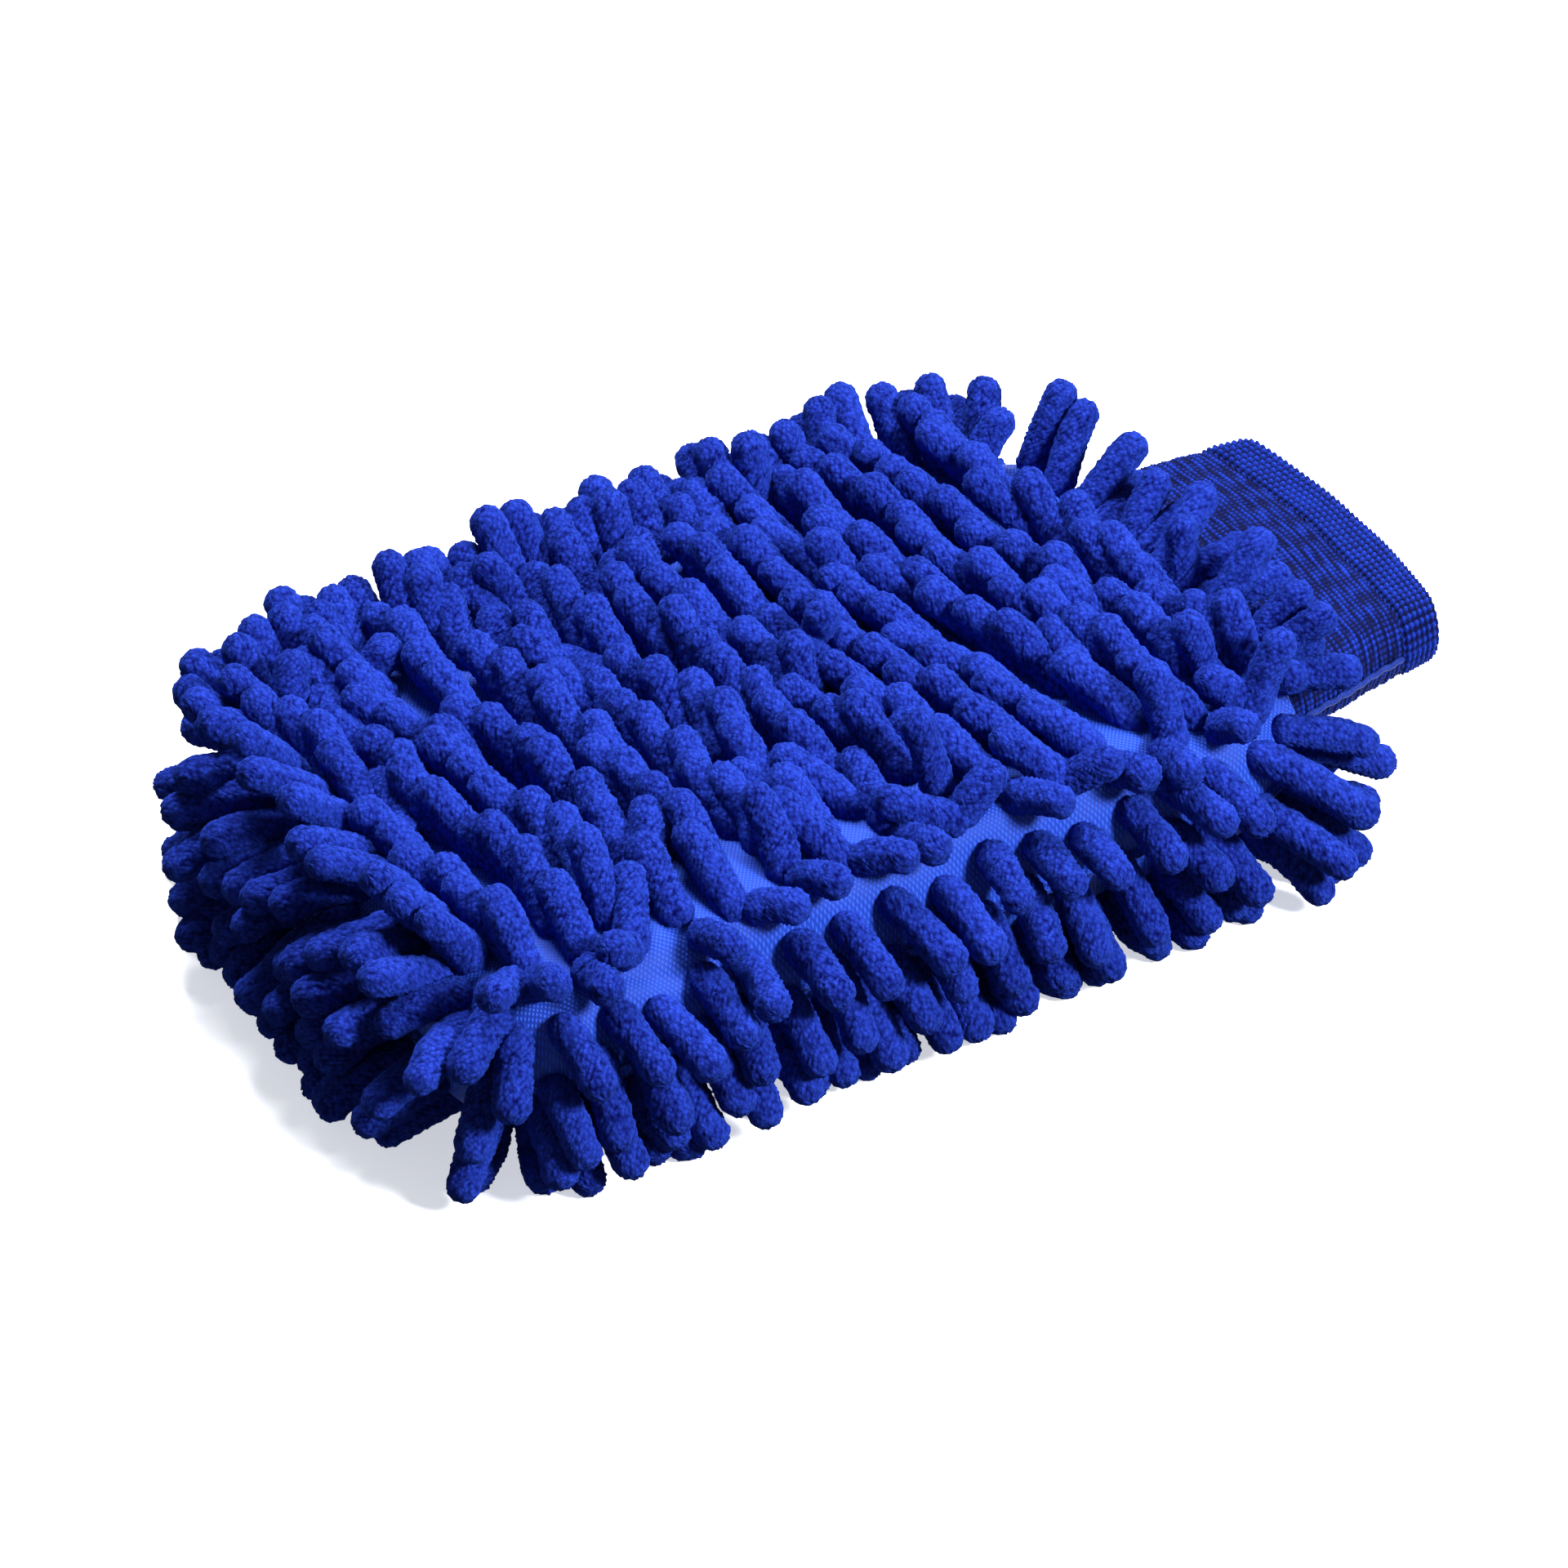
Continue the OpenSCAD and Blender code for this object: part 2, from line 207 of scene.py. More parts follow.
class Nodes:
    """Shorthand for building one node tree."""

    def __init__(self, tree: bpy.types.NodeTree) -> None:
        """Starts an empty tree."""
        self.tree = tree
        tree.nodes.clear()

    def add(self, kind: str, **values: object) -> bpy.types.Node:
        """A new node; a value is put on the socket of that name, or on the node itself."""
        node = self.tree.nodes.new(kind)
        for key, value in values.items():
            if hasattr(node, key):
                setattr(node, key, value)
            else:
                node.inputs[key.replace("_", " ")].default_value = value
        return node

    def join(self, source: bpy.types.NodeSocket, target: bpy.types.NodeSocket) -> None:
        """A link from an output to an input."""
        self.tree.links.new(source, target)

    def mix(
        self,
        factor: bpy.types.NodeSocket,
        low: Sequence[float] | bpy.types.NodeSocket,
        high: Sequence[float] | bpy.types.NodeSocket,
    ) -> bpy.types.NodeSocket:
        """A colour between low and high, by factor."""
        node = self.tree.nodes.new("ShaderNodeMix")
        node.data_type = "RGBA"
        self.join(factor, node.inputs[0])
        for socket, value in ((node.inputs[6], low), (node.inputs[7], high)):
            if isinstance(value, bpy.types.NodeSocket):
                self.join(value, socket)
            else:
                socket.default_value = (*value, 1.0)
        return node.outputs[2]

    def sum(self, kind: str, *values: float | bpy.types.NodeSocket) -> bpy.types.NodeSocket:
        """The result of a math node of that kind."""
        node = self.tree.nodes.new("ShaderNodeMath")
        node.operation = kind
        for socket, value in zip(node.inputs, values, strict=False):
            if isinstance(value, bpy.types.NodeSocket):
                self.join(value, socket)
            else:
                socket.default_value = value
        return node.outputs[0]

    def ramp(
        self, factor: bpy.types.NodeSocket, low: float, high: float
    ) -> bpy.types.NodeSocket:
        """factor stretched so that low gives 0 and high gives 1."""
        node = self.tree.nodes.new("ShaderNodeMapRange")
        self.join(factor, node.inputs[0])
        node.inputs[1].default_value = low
        node.inputs[2].default_value = high
        return node.outputs[0]


def value_group(
    name: str,
    outputs: dict[str, str],
    build: Callable[[Nodes, bpy.types.Node], None],
    inputs: dict[str, float] | None = None,
) -> bpy.types.NodeTree:
    """A shared node group, made once.

    Args:
        name: the group's name.
        outputs: socket type by output name.
        build: fills the group; it is given the nodes and the output node.
        inputs: default by name, for number inputs.

    Returns:
        The group.
    """
    found = bpy.data.node_groups.get(name)
    if found:
        return found
    group = bpy.data.node_groups.new(name, "ShaderNodeTree")
    for key, kind in outputs.items():
        group.interface.new_socket(name=key, in_out="OUTPUT", socket_type=kind)
    for key, default in (inputs or {}).items():
        made = group.interface.new_socket(name=key, in_out="INPUT", socket_type="NodeSocketFloat")
        made.default_value = default
    nodes = Nodes(group)
    build(nodes, nodes.add("NodeGroupOutput"))
    return group


def fibre_grain() -> bpy.types.NodeTree:
    """Split-fibre fluff: fine clumps at two sizes, as a mask of painted shade between the clumps and painted
    light on their crowns, and a surface direction.
    """

    def build(n: Nodes, out: bpy.types.Node) -> None:
        place = n.add("ShaderNodeTexCoord").outputs["Object"]
        clumps = n.add("ShaderNodeTexVoronoi", feature="SMOOTH_F1", Scale=850.0, Smoothness=0.3)
        n.join(place, clumps.inputs["Vector"])
        hairs = n.add("ShaderNodeTexNoise", Scale=2500.0, Detail=3.0, Roughness=0.72)
        n.join(place, hairs.inputs["Vector"])
        crowns = n.sum("SUBTRACT", 1.0, clumps.outputs["Distance"])
        both = n.sum("ADD", crowns, n.sum("MULTIPLY", hairs.outputs[0], 0.75))
        bump = n.add("ShaderNodeBump", Strength=1.0, Distance=0.0008)
        n.join(both, bump.inputs["Height"])
        # painted shade: this mask is dark between the clumps and light on their crowns, and only colours the
        # pile
        n.join(n.ramp(both, 0.55, 1.35), out.inputs["ClumpShade"])
        n.join(bump.outputs[0], out.inputs["Normal"])

    return value_group(
        "fibre_grain", {"ClumpShade": "NodeSocketFloat", "Normal": "NodeSocketVector"}, build
    )


def woven_diamonds() -> bpy.types.NodeTree:
    """The fine diamond face of a warp-knitted backing cloth."""

    def build(n: Nodes, out: bpy.types.Node) -> None:
        place = n.add("ShaderNodeTexCoord").outputs["Object"]
        turn = n.add("ShaderNodeMapping")
        turn.inputs["Rotation"].default_value = (0.0, 0.0, math.radians(38))
        n.join(place, turn.inputs["Vector"])
        heights = []
        for direction in ("X", "Y"):
            wave = n.add("ShaderNodeTexWave", Scale=350.0, Distortion=0.6, Detail=1.0)
            wave.bands_direction = direction
            n.join(turn.outputs[0], wave.inputs["Vector"])
            heights.append(wave.outputs["Fac"])
        both = n.sum("MULTIPLY", *heights)
        bump = n.add("ShaderNodeBump", Strength=0.55, Distance=0.0003)
        n.join(both, bump.inputs["Height"])
        n.join(both, out.inputs["Weave"])
        n.join(bump.outputs[0], out.inputs["Normal"])

    return value_group(
        "woven_diamonds", {"Weave": "NodeSocketFloat", "Normal": "NodeSocketVector"}, build
    )


def yarn_grain() -> bpy.types.NodeTree:
    """Twisted knitting yarn: short slanting strands, with a slow change of shade."""

    def build(n: Nodes, out: bpy.types.Node) -> None:
        place = n.add("ShaderNodeTexCoord").outputs["Object"]
        strands = n.add("ShaderNodeTexNoise", Scale=1800.0, Detail=4.0, Roughness=0.65)
        n.join(place, strands.inputs["Vector"])
        slow = n.add("ShaderNodeTexNoise", Scale=160.0, Detail=3.0, Roughness=0.6)
        n.join(place, slow.inputs["Vector"])
        bump = n.add("ShaderNodeBump", Strength=0.5, Distance=0.0003)
        n.join(strands.outputs[0], bump.inputs["Height"])
        n.join(n.ramp(slow.outputs[0], 0.3, 0.7), out.inputs["Shade"])
        n.join(n.ramp(strands.outputs[0], 0.3, 0.75), out.inputs["Strands"])
        n.join(bump.outputs[0], out.inputs["Normal"])

    return value_group(
        "yarn_grain",
        {"Shade": "NodeSocketFloat", "Strands": "NodeSocketFloat", "Normal": "NodeSocketVector"},
        build,
    )


@dataclass(frozen=True)
class Finish:
    """What every fabric of the mitt shares: a soft, matt surface with a sheen."""

    name: str
    slot: str
    deep: tuple[float, float, float]
    light: tuple[float, float, float]
    roughness: float
    sheen: float
    sheen_tint: tuple[float, float, float]
    shine: float = 0.1
    sheen_roughness: float = 0.45

    def colour(self, n: Nodes) -> tuple[bpy.types.NodeSocket, bpy.types.NodeSocket]:
        """The base colour and the surface direction."""
        grain = n.add("ShaderNodeGroup", node_tree=yarn_grain())
        return n.mix(grain.outputs["Strands"], self.deep, self.light), grain.outputs["Normal"]

    def make(self) -> bpy.types.Material:
        """The material, made once."""
        found = bpy.data.materials.get(self.name)
        if found:
            return found
        made = bpy.data.materials.new(self.name)
        made.use_nodes = True
        n = Nodes(made.node_tree)
        shader = n.add("ShaderNodeBsdfPrincipled", Roughness=self.roughness)
        shader.inputs["Sheen Weight"].default_value = self.sheen
        shader.inputs["Sheen Roughness"].default_value = self.sheen_roughness
        shader.inputs["Sheen Tint"].default_value = (*self.sheen_tint, 1.0)
        shader.inputs["Specular IOR Level"].default_value = self.shine
        colour, normal = self.colour(n)
        n.join(colour, shader.inputs["Base Color"])
        n.join(normal, shader.inputs["Normal"])
        out = n.add("ShaderNodeOutputMaterial")
        n.join(shader.outputs[0], out.inputs["Surface"])
        return made

    def put_on(self, obj: bpy.types.Object) -> None:
        """Gives obj this finish."""
        obj.data.materials.clear()
        obj.data.materials.append(self.make())


@dataclass(frozen=True)
class PileFinish(Finish):
    """Chenille: painted shade deep between the clumps, painted light where the fibre tips stand out."""

    def colour(self, n: Nodes) -> tuple[bpy.types.NodeSocket, bpy.types.NodeSocket]:
        """The base colour and the surface direction."""
        grain = n.add("ShaderNodeGroup", node_tree=fibre_grain())
        # painted shade and light: the fluff height and the clump mask darken the pits and lighten the tips;
        # strand is each noodle's own tone
        fluff = n.add("ShaderNodeAttribute", attribute_name="fluff").outputs["Fac"]
        strand = n.add("ShaderNodeAttribute", attribute_name="strand").outputs["Fac"]
        fine = n.sum("MULTIPLY", grain.outputs["ClumpShade"], 0.5)
        height = n.sum("ADD", n.sum("MULTIPLY", fluff, 0.5), fine)
        shade = n.sum("ADD", height, n.sum("MULTIPLY", n.sum("SUBTRACT", strand, 0.5), 0.14))
        return n.mix(n.ramp(shade, 0.12, 0.78), self.deep, self.light), grain.outputs["Normal"]


@dataclass(frozen=True)
class BackingFinish(Finish):
    """The smooth warp-knitted cloth that the tufts are set in."""

    def colour(self, n: Nodes) -> tuple[bpy.types.NodeSocket, bpy.types.NodeSocket]:
        """The base colour and the surface direction."""
        weave = n.add("ShaderNodeGroup", node_tree=woven_diamonds())
        return n.mix(weave.outputs["Weave"], self.deep, self.light), weave.outputs["Normal"]


@dataclass(frozen=True)
class KnitFinish(Finish):
    """Elastic knit: painted light on the crowns of the stitches and painted shade between them."""

    def colour(self, n: Nodes) -> tuple[bpy.types.NodeSocket, bpy.types.NodeSocket]:
        """The base colour and the surface direction."""
        grain = n.add("ShaderNodeGroup", node_tree=yarn_grain())
        stitch = n.add("ShaderNodeAttribute", attribute_name="stitch").outputs["Fac"]
        yarn = n.sum("MULTIPLY", grain.outputs["Strands"], 0.45)
        # painted shade: the stitch height darkens the pits between stitches and lightens their crowns; the
        # yarn strands and the slow change of tone are the yarn's own colour
        relief = n.sum("MULTIPLY", stitch, n.sum("ADD", yarn, 0.65))
        both = n.sum("ADD", relief, n.sum("MULTIPLY", grain.outputs["Shade"], 0.18))
        return n.mix(n.ramp(both, 0.3, 1.0), self.deep, self.light), grain.outputs["Normal"]


# deep is the painted shade in the pile's pits, light the painted light on its fibre tips
PILE = PileFinish(
    name="chenille pile",
    slot="chenille_pile",
    deep=(0.0012, 0.0015, 0.078),
    light=(0.020, 0.050, 0.48),
    roughness=0.95,
    sheen=0.22,
    sheen_tint=(0.06, 0.20, 1.0),
    shine=0.02,
)
BACKING = BackingFinish(
    name="backing cloth",
    slot="backing_fabric",
    deep=(0.010, 0.036, 0.32),
    light=(0.032, 0.11, 0.70),
    roughness=0.5,
    sheen=0.04,
    sheen_tint=(0.2, 0.45, 1.0),
    shine=0.08,
)
# deep is the painted shade between the stitches, light the painted light on their crowns
KNIT = KnitFinish(
    name="cuff knit",
    slot="cuff_knit",
    deep=(0.0003, 0.0015, 0.03),
    light=(0.008, 0.036, 0.40),
    roughness=0.6,
    sheen=0.03,
    sheen_tint=(0.1, 0.35, 1.0),
    shine=0.05,
)
LINING = Finish(
    name="lining",
    slot="lining_mesh",
    deep=(0.22, 0.26, 0.33),
    light=(0.36, 0.41, 0.5),
    roughness=0.8,
    sheen=0.1,
    sheen_tint=(1.0, 1.0, 1.0),
)
THREAD = Finish(
    name="sewing thread",
    slot="sewing_thread",
    deep=(0.003, 0.01, 0.11),
    light=(0.01, 0.04, 0.3),
    roughness=0.6,
    sheen=0.1,
    sheen_tint=(0.6, 0.7, 1.0),
)
ELASTIC = Finish(
    name="elastic thread",
    slot="elastic",
    deep=(0.5, 0.5, 0.47),
    light=(0.72, 0.72, 0.68),
    roughness=0.6,
    sheen=0.0,
    sheen_tint=(1.0, 1.0, 1.0),
)


# ---------------------------------------------------------------- shape of the pocket and cuff


@dataclass
class PocketForm:
    """The plain outside shape of the sewn pocket: a rounded rectangle with rolled sides."""

    corner: float = 28 * MM
    roll: float = 13 * MM
    half_w: float = field(init=False)
    half_l: float = field(init=False)
    half_h: float = field(init=False)
    mid_y: float = field(init=False)
    seam_z: float = field(init=False)

    def __post_init__(self) -> None:
        """Reads the size from the CAD panels."""
        top_low, top_high = (np.array(c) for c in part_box("top_panel"))
        low, _ = (np.array(c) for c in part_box("bottom_panel"))
        rows = (centre_of("top_row_08") + centre_of("top_row_09")) / 2
        self.half_w = (top_high[0] - top_low[0]) / 2
        self.mid_y = rows[1]
        self.half_l = self.mid_y - top_low[1]
        self.half_h = (top_high[2] - low[2]) / 2
        self.seam_z = (top_high[2] + low[2]) / 2

    @property
    def mouth_y(self) -> float:
        """Where the pocket ends and the cuff comes out."""
        return self.mid_y + self.half_l

    def outline(self, t: np.ndarray, inset: np.ndarray | float) -> tuple[np.ndarray, np.ndarray]:
        """Points on the plan outline, counted by share of its length from the near side's middle.

        Args:
            t: shares of the length, (n,).
            inset: how far inside the outline, in metres.

        Returns:
            (n, 2) points and (n, 2) outward directions.
        """
        a, b, r = self.half_w - self.corner, self.half_l - self.corner, self.corner
        arc = r * math.pi / 2
        lengths = np.array([b, arc, 2 * a, arc, 2 * b, arc, 2 * a, arc, b])
        ends = np.cumsum(lengths)
        s = (t % 1.0) * ends[-1]
        k = np.searchsorted(ends, s, side="right").clip(0, len(lengths) - 1)
        d = s - (ends[k] - lengths[k])
        turn = np.where(k % 2 == 1, d / r, 0.0) + (k // 2) * math.pi / 2
        out = np.stack([np.cos(turn), np.sin(turn)], -1)
        corners = np.array([[a, b], [-a, b], [-a, -b], [a, -b]])
        base = np.zeros((len(s), 2))
        for side in range(9):
            here = k == side
            if side % 2:
                base[here] = corners[side // 2]
            elif side in (0, 8):
                base[here] = np.stack([np.full(here.sum(), a), d[here] if side == 0 else d[here] - b], -1)
            else:
                first, last = corners[side // 2 - 1], corners[side // 2]
                base[here] = first + (last - first) * (d[here] / lengths[side])[:, None]
        reach = (r - np.broadcast_to(inset, s.shape))[:, None]
        return base + out * reach + [0.0, self.mid_y], out

    def point(self, t: np.ndarray, lift: np.ndarray) -> tuple[np.ndarray, np.ndarray]:
        """Points on the rolled side.

        Args:
            t: shares of the outline, (n,).
            lift: angle up the roll, from -90 under the mitt to 90 at the deck's edge, in radians, (n,).

        Returns:
            (n, 3) points and (n, 3) outward directions.
        """
        flat, out = self.outline(t, self.roll * (1 - np.cos(lift)))
        z = self.seam_z + self.half_h * np.sin(lift)
        away = np.concatenate(
            [out * (np.cos(lift) / self.roll)[:, None], (np.sin(lift) / self.half_h)[:, None]], 1
        )
        return np.concatenate([flat, z[:, None]], 1), unit(away)

    def clearance(self, p: np.ndarray) -> tuple[np.ndarray, np.ndarray]:
        """How far points are outside the pocket, about, and which way is out."""
        q = p[:, :2] - [0.0, self.mid_y]
        box = np.abs(q) - [self.half_w - self.corner, self.half_l - self.corner]
        over = np.maximum(box, 0.0)
        far = np.linalg.norm(over, axis=1)
        edge = far + np.minimum(box.max(1), 0.0) - self.corner
        across = np.where(far[:, None] > 0, over / np.maximum(far, 1e-9)[:, None], 0.0)
        flatwise = np.eye(2)[np.argmax(box, 1)]
        out = np.where(far[:, None] > 0, across, flatwise) * np.sign(q)
        past = np.maximum(edge + self.roll, 0.0)
        w = p[:, 2] - self.seam_z
        k = np.sqrt((past / self.roll) ** 2 + (w / self.half_h) ** 2)
        slope = np.stack([past / self.roll**2, w / self.half_h**2], 1) / np.maximum(k, 1e-9)[:, None]
        steep = np.maximum(np.linalg.norm(slope, axis=1), 1e-9)
        slope = slope / steep[:, None]
        away = np.concatenate([out * slope[:, :1], slope[:, 1:]], 1)
        return (k - 1) / steep, away


@dataclass
class CuffForm:
    """The shape of the cuff: a flat oval tube with a soft, uneven hem."""

    half_w: float = field(init=False)
    hem_half_w: float = field(init=False)
    half_t: float = field(init=False)
    start_y: float = field(init=False)
    fold_y: float = field(init=False)
    hem_y: float = field(init=False)
    end_y: float = field(init=False)
    mid_z: float = field(init=False)

    def __post_init__(self) -> None:
        """Reads the size from the CAD cuff."""
        low, high = (np.array(c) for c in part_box("cuff_outer"))
        hem_low, hem_high = (np.array(c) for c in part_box("cuff_hem"))
        self.half_w = (high[0] - low[0]) / 2
        self.hem_half_w = (hem_high[0] - hem_low[0]) / 2
        self.half_t = (high[2] - low[2]) / 2
        self.start_y, self.hem_y = low[1], hem_low[1]
        self.fold_y = float(FOLD[1])
        self.end_y = hem_high[1]
        self.mid_z = (high[2] + low[2]) / 2

    def half_at(self, y: np.ndarray) -> np.ndarray:
        """Half the width of the cuff at y: it narrows towards the hem."""
        along = (y - self.start_y) / (self.hem_y - self.start_y)
        return self.half_w + (self.hem_half_w - self.half_w) * along

    @property
    def loop(self) -> float:
        """The length round the outside of the cuff."""
        return 4 * (self.half_w - self.half_t) + 2 * math.pi * self.half_t

    def section(self, u: np.ndarray, grow: np.ndarray | float) -> tuple[np.ndarray, np.ndarray]:
        """Points round the oval section.

        Args:
            u: shares of the way round, from the near edge over the top, (n,).
            grow: how far outside the CAD surface, in metres.

        Returns:
            (n, 2) points in X and Z from the cuff's middle, and (n, 2) outward directions.
        """
        a, r = self.half_w - self.half_t, self.half_t
        arc = math.pi * r / 2
        lengths = np.array([arc, 2 * a, 2 * arc, 2 * a, arc])
        ends = np.cumsum(lengths)
        s = (u % 1.0) * ends[-1]
        k = np.searchsorted(ends, s, side="right").clip(0, 4)
        d = s - (ends[k] - lengths[k])
        parts = [k == 0, k == 1, k == 2, k == 3]
        quarter, back = math.pi / 2, 1.5 * math.pi
        turn = np.select(parts, [d / r, quarter, quarter + d / r, back], back + d / r)
        x = np.select(parts, [a, a - d, -a, d - a], a)
        out = np.stack([np.cos(turn), np.sin(turn)], -1)
        reach = np.broadcast_to(r + grow, s.shape)[:, None]
        return np.stack([x, np.zeros_like(x)], -1) + out * reach, out

    def slump(self, p: np.ndarray) -> np.ndarray:
        """The same points after the knit has sagged and its hem has gone wavy."""
        along = ((p[:, 1] - self.start_y) / (self.end_y - self.start_y)).clip(0, 1)
        loose = along**1.5
        lump_depth, edge_sag, edge_tilt = 0.9, 0.8, 0.9
        across = p[:, 0] / self.half_w
        top = np.sign(p[:, 2] - self.mid_z)
        high = (np.abs(p[:, 2] - self.mid_z) / self.half_t).clip(0, 1)
        out = p.copy()
        out[:, 0] *= self.half_at(p[:, 1]) / self.half_w
        swell = np.sin(along * math.pi) * (1 - across**2) * high
        out[:, 2] += top * swell * np.where(top > 0, 3.0, 1.0) * MM
        dip = (1 - across**2) * high * np.where(top > 0, 1.2, 0.5) * MM
        lump = wave_noise(p, 34 * MM, SEED + Draw.CUFF_LUMPS, 2) * lump_depth * MM
        out[:, 2] += -top * dip * (0.4 + 0.6 * loose) + lump * (0.3 + 0.7 * loose) * high
        out[:, 2] += (edge_sag * across**2 * loose - edge_tilt * loose * across) * MM
        edge = wave_noise(p * [1, 0, 1], 60 * MM, SEED + Draw.CUFF_LIP, 1)
        out[:, 1] += (edge * 1.2 - 6.5 * across**2 + 1.0) * MM * loose
        out[:, 0] += wave_noise(p * [0, 1, 0], 30 * MM, SEED + Draw.CUFF_EDGES, 2) * 0.8 * MM * np.abs(across)
        return out

    def clearance(self, p: np.ndarray) -> tuple[np.ndarray, np.ndarray]:
        """How far points beside the cuff are outside it, and which way is out."""
        a = self.half_at(p[:, 1]) - self.half_t
        flat = np.stack([p[:, 0] - np.clip(p[:, 0], -a, a), p[:, 2] - self.mid_z], 1)
        far = np.maximum(np.linalg.norm(flat, axis=1), 1e-9)
        away = np.stack([flat[:, 0] / far, np.zeros(len(p)), flat[:, 1] / far], 1)
        beside = (p[:, 1] > self.start_y) & (p[:, 1] < self.end_y)
        return np.where(beside, far - self.half_t, 1.0), away


# ---------------------------------------------------------------- pile: where it grows


@dataclass(frozen=True)
class Yarn:
    """One kind of chenille noodle."""

    radius: float = 4.35 * MM
    length: float = 26 * MM
    beads: int = 5


@dataclass
class Tufts:
    """Noodles that share a CAD node: where each is rooted and which way it first points."""

    node: str
    roots: np.ndarray
    ways: np.ndarray
    lengths: np.ndarray
    radii: np.ndarray


@dataclass
class PilePlan:
    """Sets out every tuft of the mitt, row by row and layer by layer."""

    pocket: PocketForm
    cuff: CuffForm
    yarn: Yarn = Yarn()
    pitch: float = 10.0 * MM
    under_spread: float = 1.35
    # how the deck is stroked: its turn with the rows, its swirls, its lift and where it is pushed down
    stroke_turn: float = 1.9
    swirl_turn: float = 0.3
    stroke_lift: float = 0.60
    stroke_push: float = 0.18
    # tufts of a deck row that stand across the others, and how far each kind strays
    stray_share: float = 0.14
    stray_far: float = 0.5
    stray_near: float = 0.12
    # how strongly the side tufts of each side are turned down or up
    near_droop: float = -0.55
    end_droop: float = -0.2
    far_rise: float = 1.7
    # how unevenly the side tufts are set, along, up the roll and in direction
    along_jitter: float = 0.08
    lift_jitter: float = 0.09
    way_jitter: float = 0.2
    # how long the tufts of a run are, against the usual length
    near_top_stretch: float = 0.68
    far_top_stretch: float = 1.04
    near_wrist_stretch: float = 1.13
    closed_end_stretch: float = 1.06
    fringe_stretch: float = 0.93
    tufts: list[Tufts] = field(default_factory=list)

    def add(self, node: str, roots: np.ndarray, ways: np.ndarray, stretch: float = 1.0) -> None:
        """Adds tufts to a node, each a little longer or thicker than the next."""
        rng = np.random.default_rng(SEED + 31 * len(self.tufts))
        n = len(roots)
        self.tufts.append(
            Tufts(
                node,
                roots,
                unit(ways),
                self.yarn.length * rng.uniform(0.88, 1.08, n) * stretch,
                self.yarn.radius * rng.uniform(0.94, 1.05, n),
            )
        )

    def comb(self, p: np.ndarray) -> np.ndarray:
        """Which way the deck's noodles have been stroked, at points p, with slow swirls."""
        swirl = wave_noise(p, 120 * MM, SEED + Draw.SWIRL, 2)
        push = wave_noise(p, 80 * MM, SEED + Draw.STROKE, 2)
        turn = self.bow(p) * self.stroke_turn + self.swirl_turn * swirl
        lift = self.stroke_lift - self.stroke_push * push
        return np.stack([-np.cos(turn), -np.sin(turn), lift], 1)

    def bow(self, p: np.ndarray) -> np.ndarray:
        """How far the rows at p have been pulled round towards the cuff, in radians."""
        along = (p[:, 1] - self.pocket.mid_y) / self.pocket.half_l
        near = p[:, 0] / self.pocket.half_w
        rise_from, fall_from, fall_length = -0.45, 0.65, 0.35
        rise = (along - rise_from).clip(0, 1)
        fall = ((along - fall_from) / fall_length).clip(0, 1)
        smooth_rise = rise**2 * (3 - 2 * rise)
        return 0.03 + (0.19 + 0.05 * near) * smooth_rise - 0.14 * fall

    def deck_row(self, number: int) -> None:
        """One row of tufts across the top panel."""
        node = f"top_row_{number:02d}"
        low, high = (np.array(c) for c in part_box(node))
        rng = np.random.default_rng(SEED + number)
        count = int(round((high[0] - low[0]) / self.pitch))
        x = np.linspace(low[0] + self.pitch / 2, high[0] - self.pitch / 2, count)
        x = x + rng.normal(0, 0.7 * MM, count) + (number % 2 - 0.5) * self.pitch * 0.4
        y = np.full(count, (low[1] + high[1]) / 2) + rng.normal(0, 0.8 * MM, count)
        z = np.full(count, self.pocket.seam_z + self.pocket.half_h)
        flat = np.stack([x, y, z], 1)
        y = y + x * np.tan(self.bow(flat)) + wave_noise(flat, 95 * MM, SEED + Draw.ROW_WANDER, 2) * 2.8 * MM
        roots = np.stack([x, y, z], 1)
        astray = rng.uniform(0, 1, count) < self.stray_share
        stray = np.where(astray, self.stray_far, self.stray_near)
        ways = unit(self.comb(roots)) + rng.normal(0, 1, (count, 3)) * stray[:, None]
        self.add(node, roots, ways)

    def under_row(self, number: int) -> None:
        """One row of tufts pressed flat under the mitt."""
        node = f"bottom_row_{number:02d}"
        low, high = (np.array(c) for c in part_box(node))
        rng = np.random.default_rng(SEED + Draw.UNDER_ROW + number)
        count = int(round((high[0] - low[0]) / (self.pitch * self.under_spread)))
        x = np.linspace(low[0] + self.pitch / 2, high[0] - self.pitch / 2, count)
        y = np.full(count, (low[1] + high[1]) / 2)
        roots = np.stack([x, y, np.full(count, self.pocket.seam_z - self.pocket.half_h)], 1)
        ways = np.stack([np.full(count, -1.0), rng.normal(0, 0.3, count), np.full(count, -0.35)], 1)
        self.add(node, roots, ways)

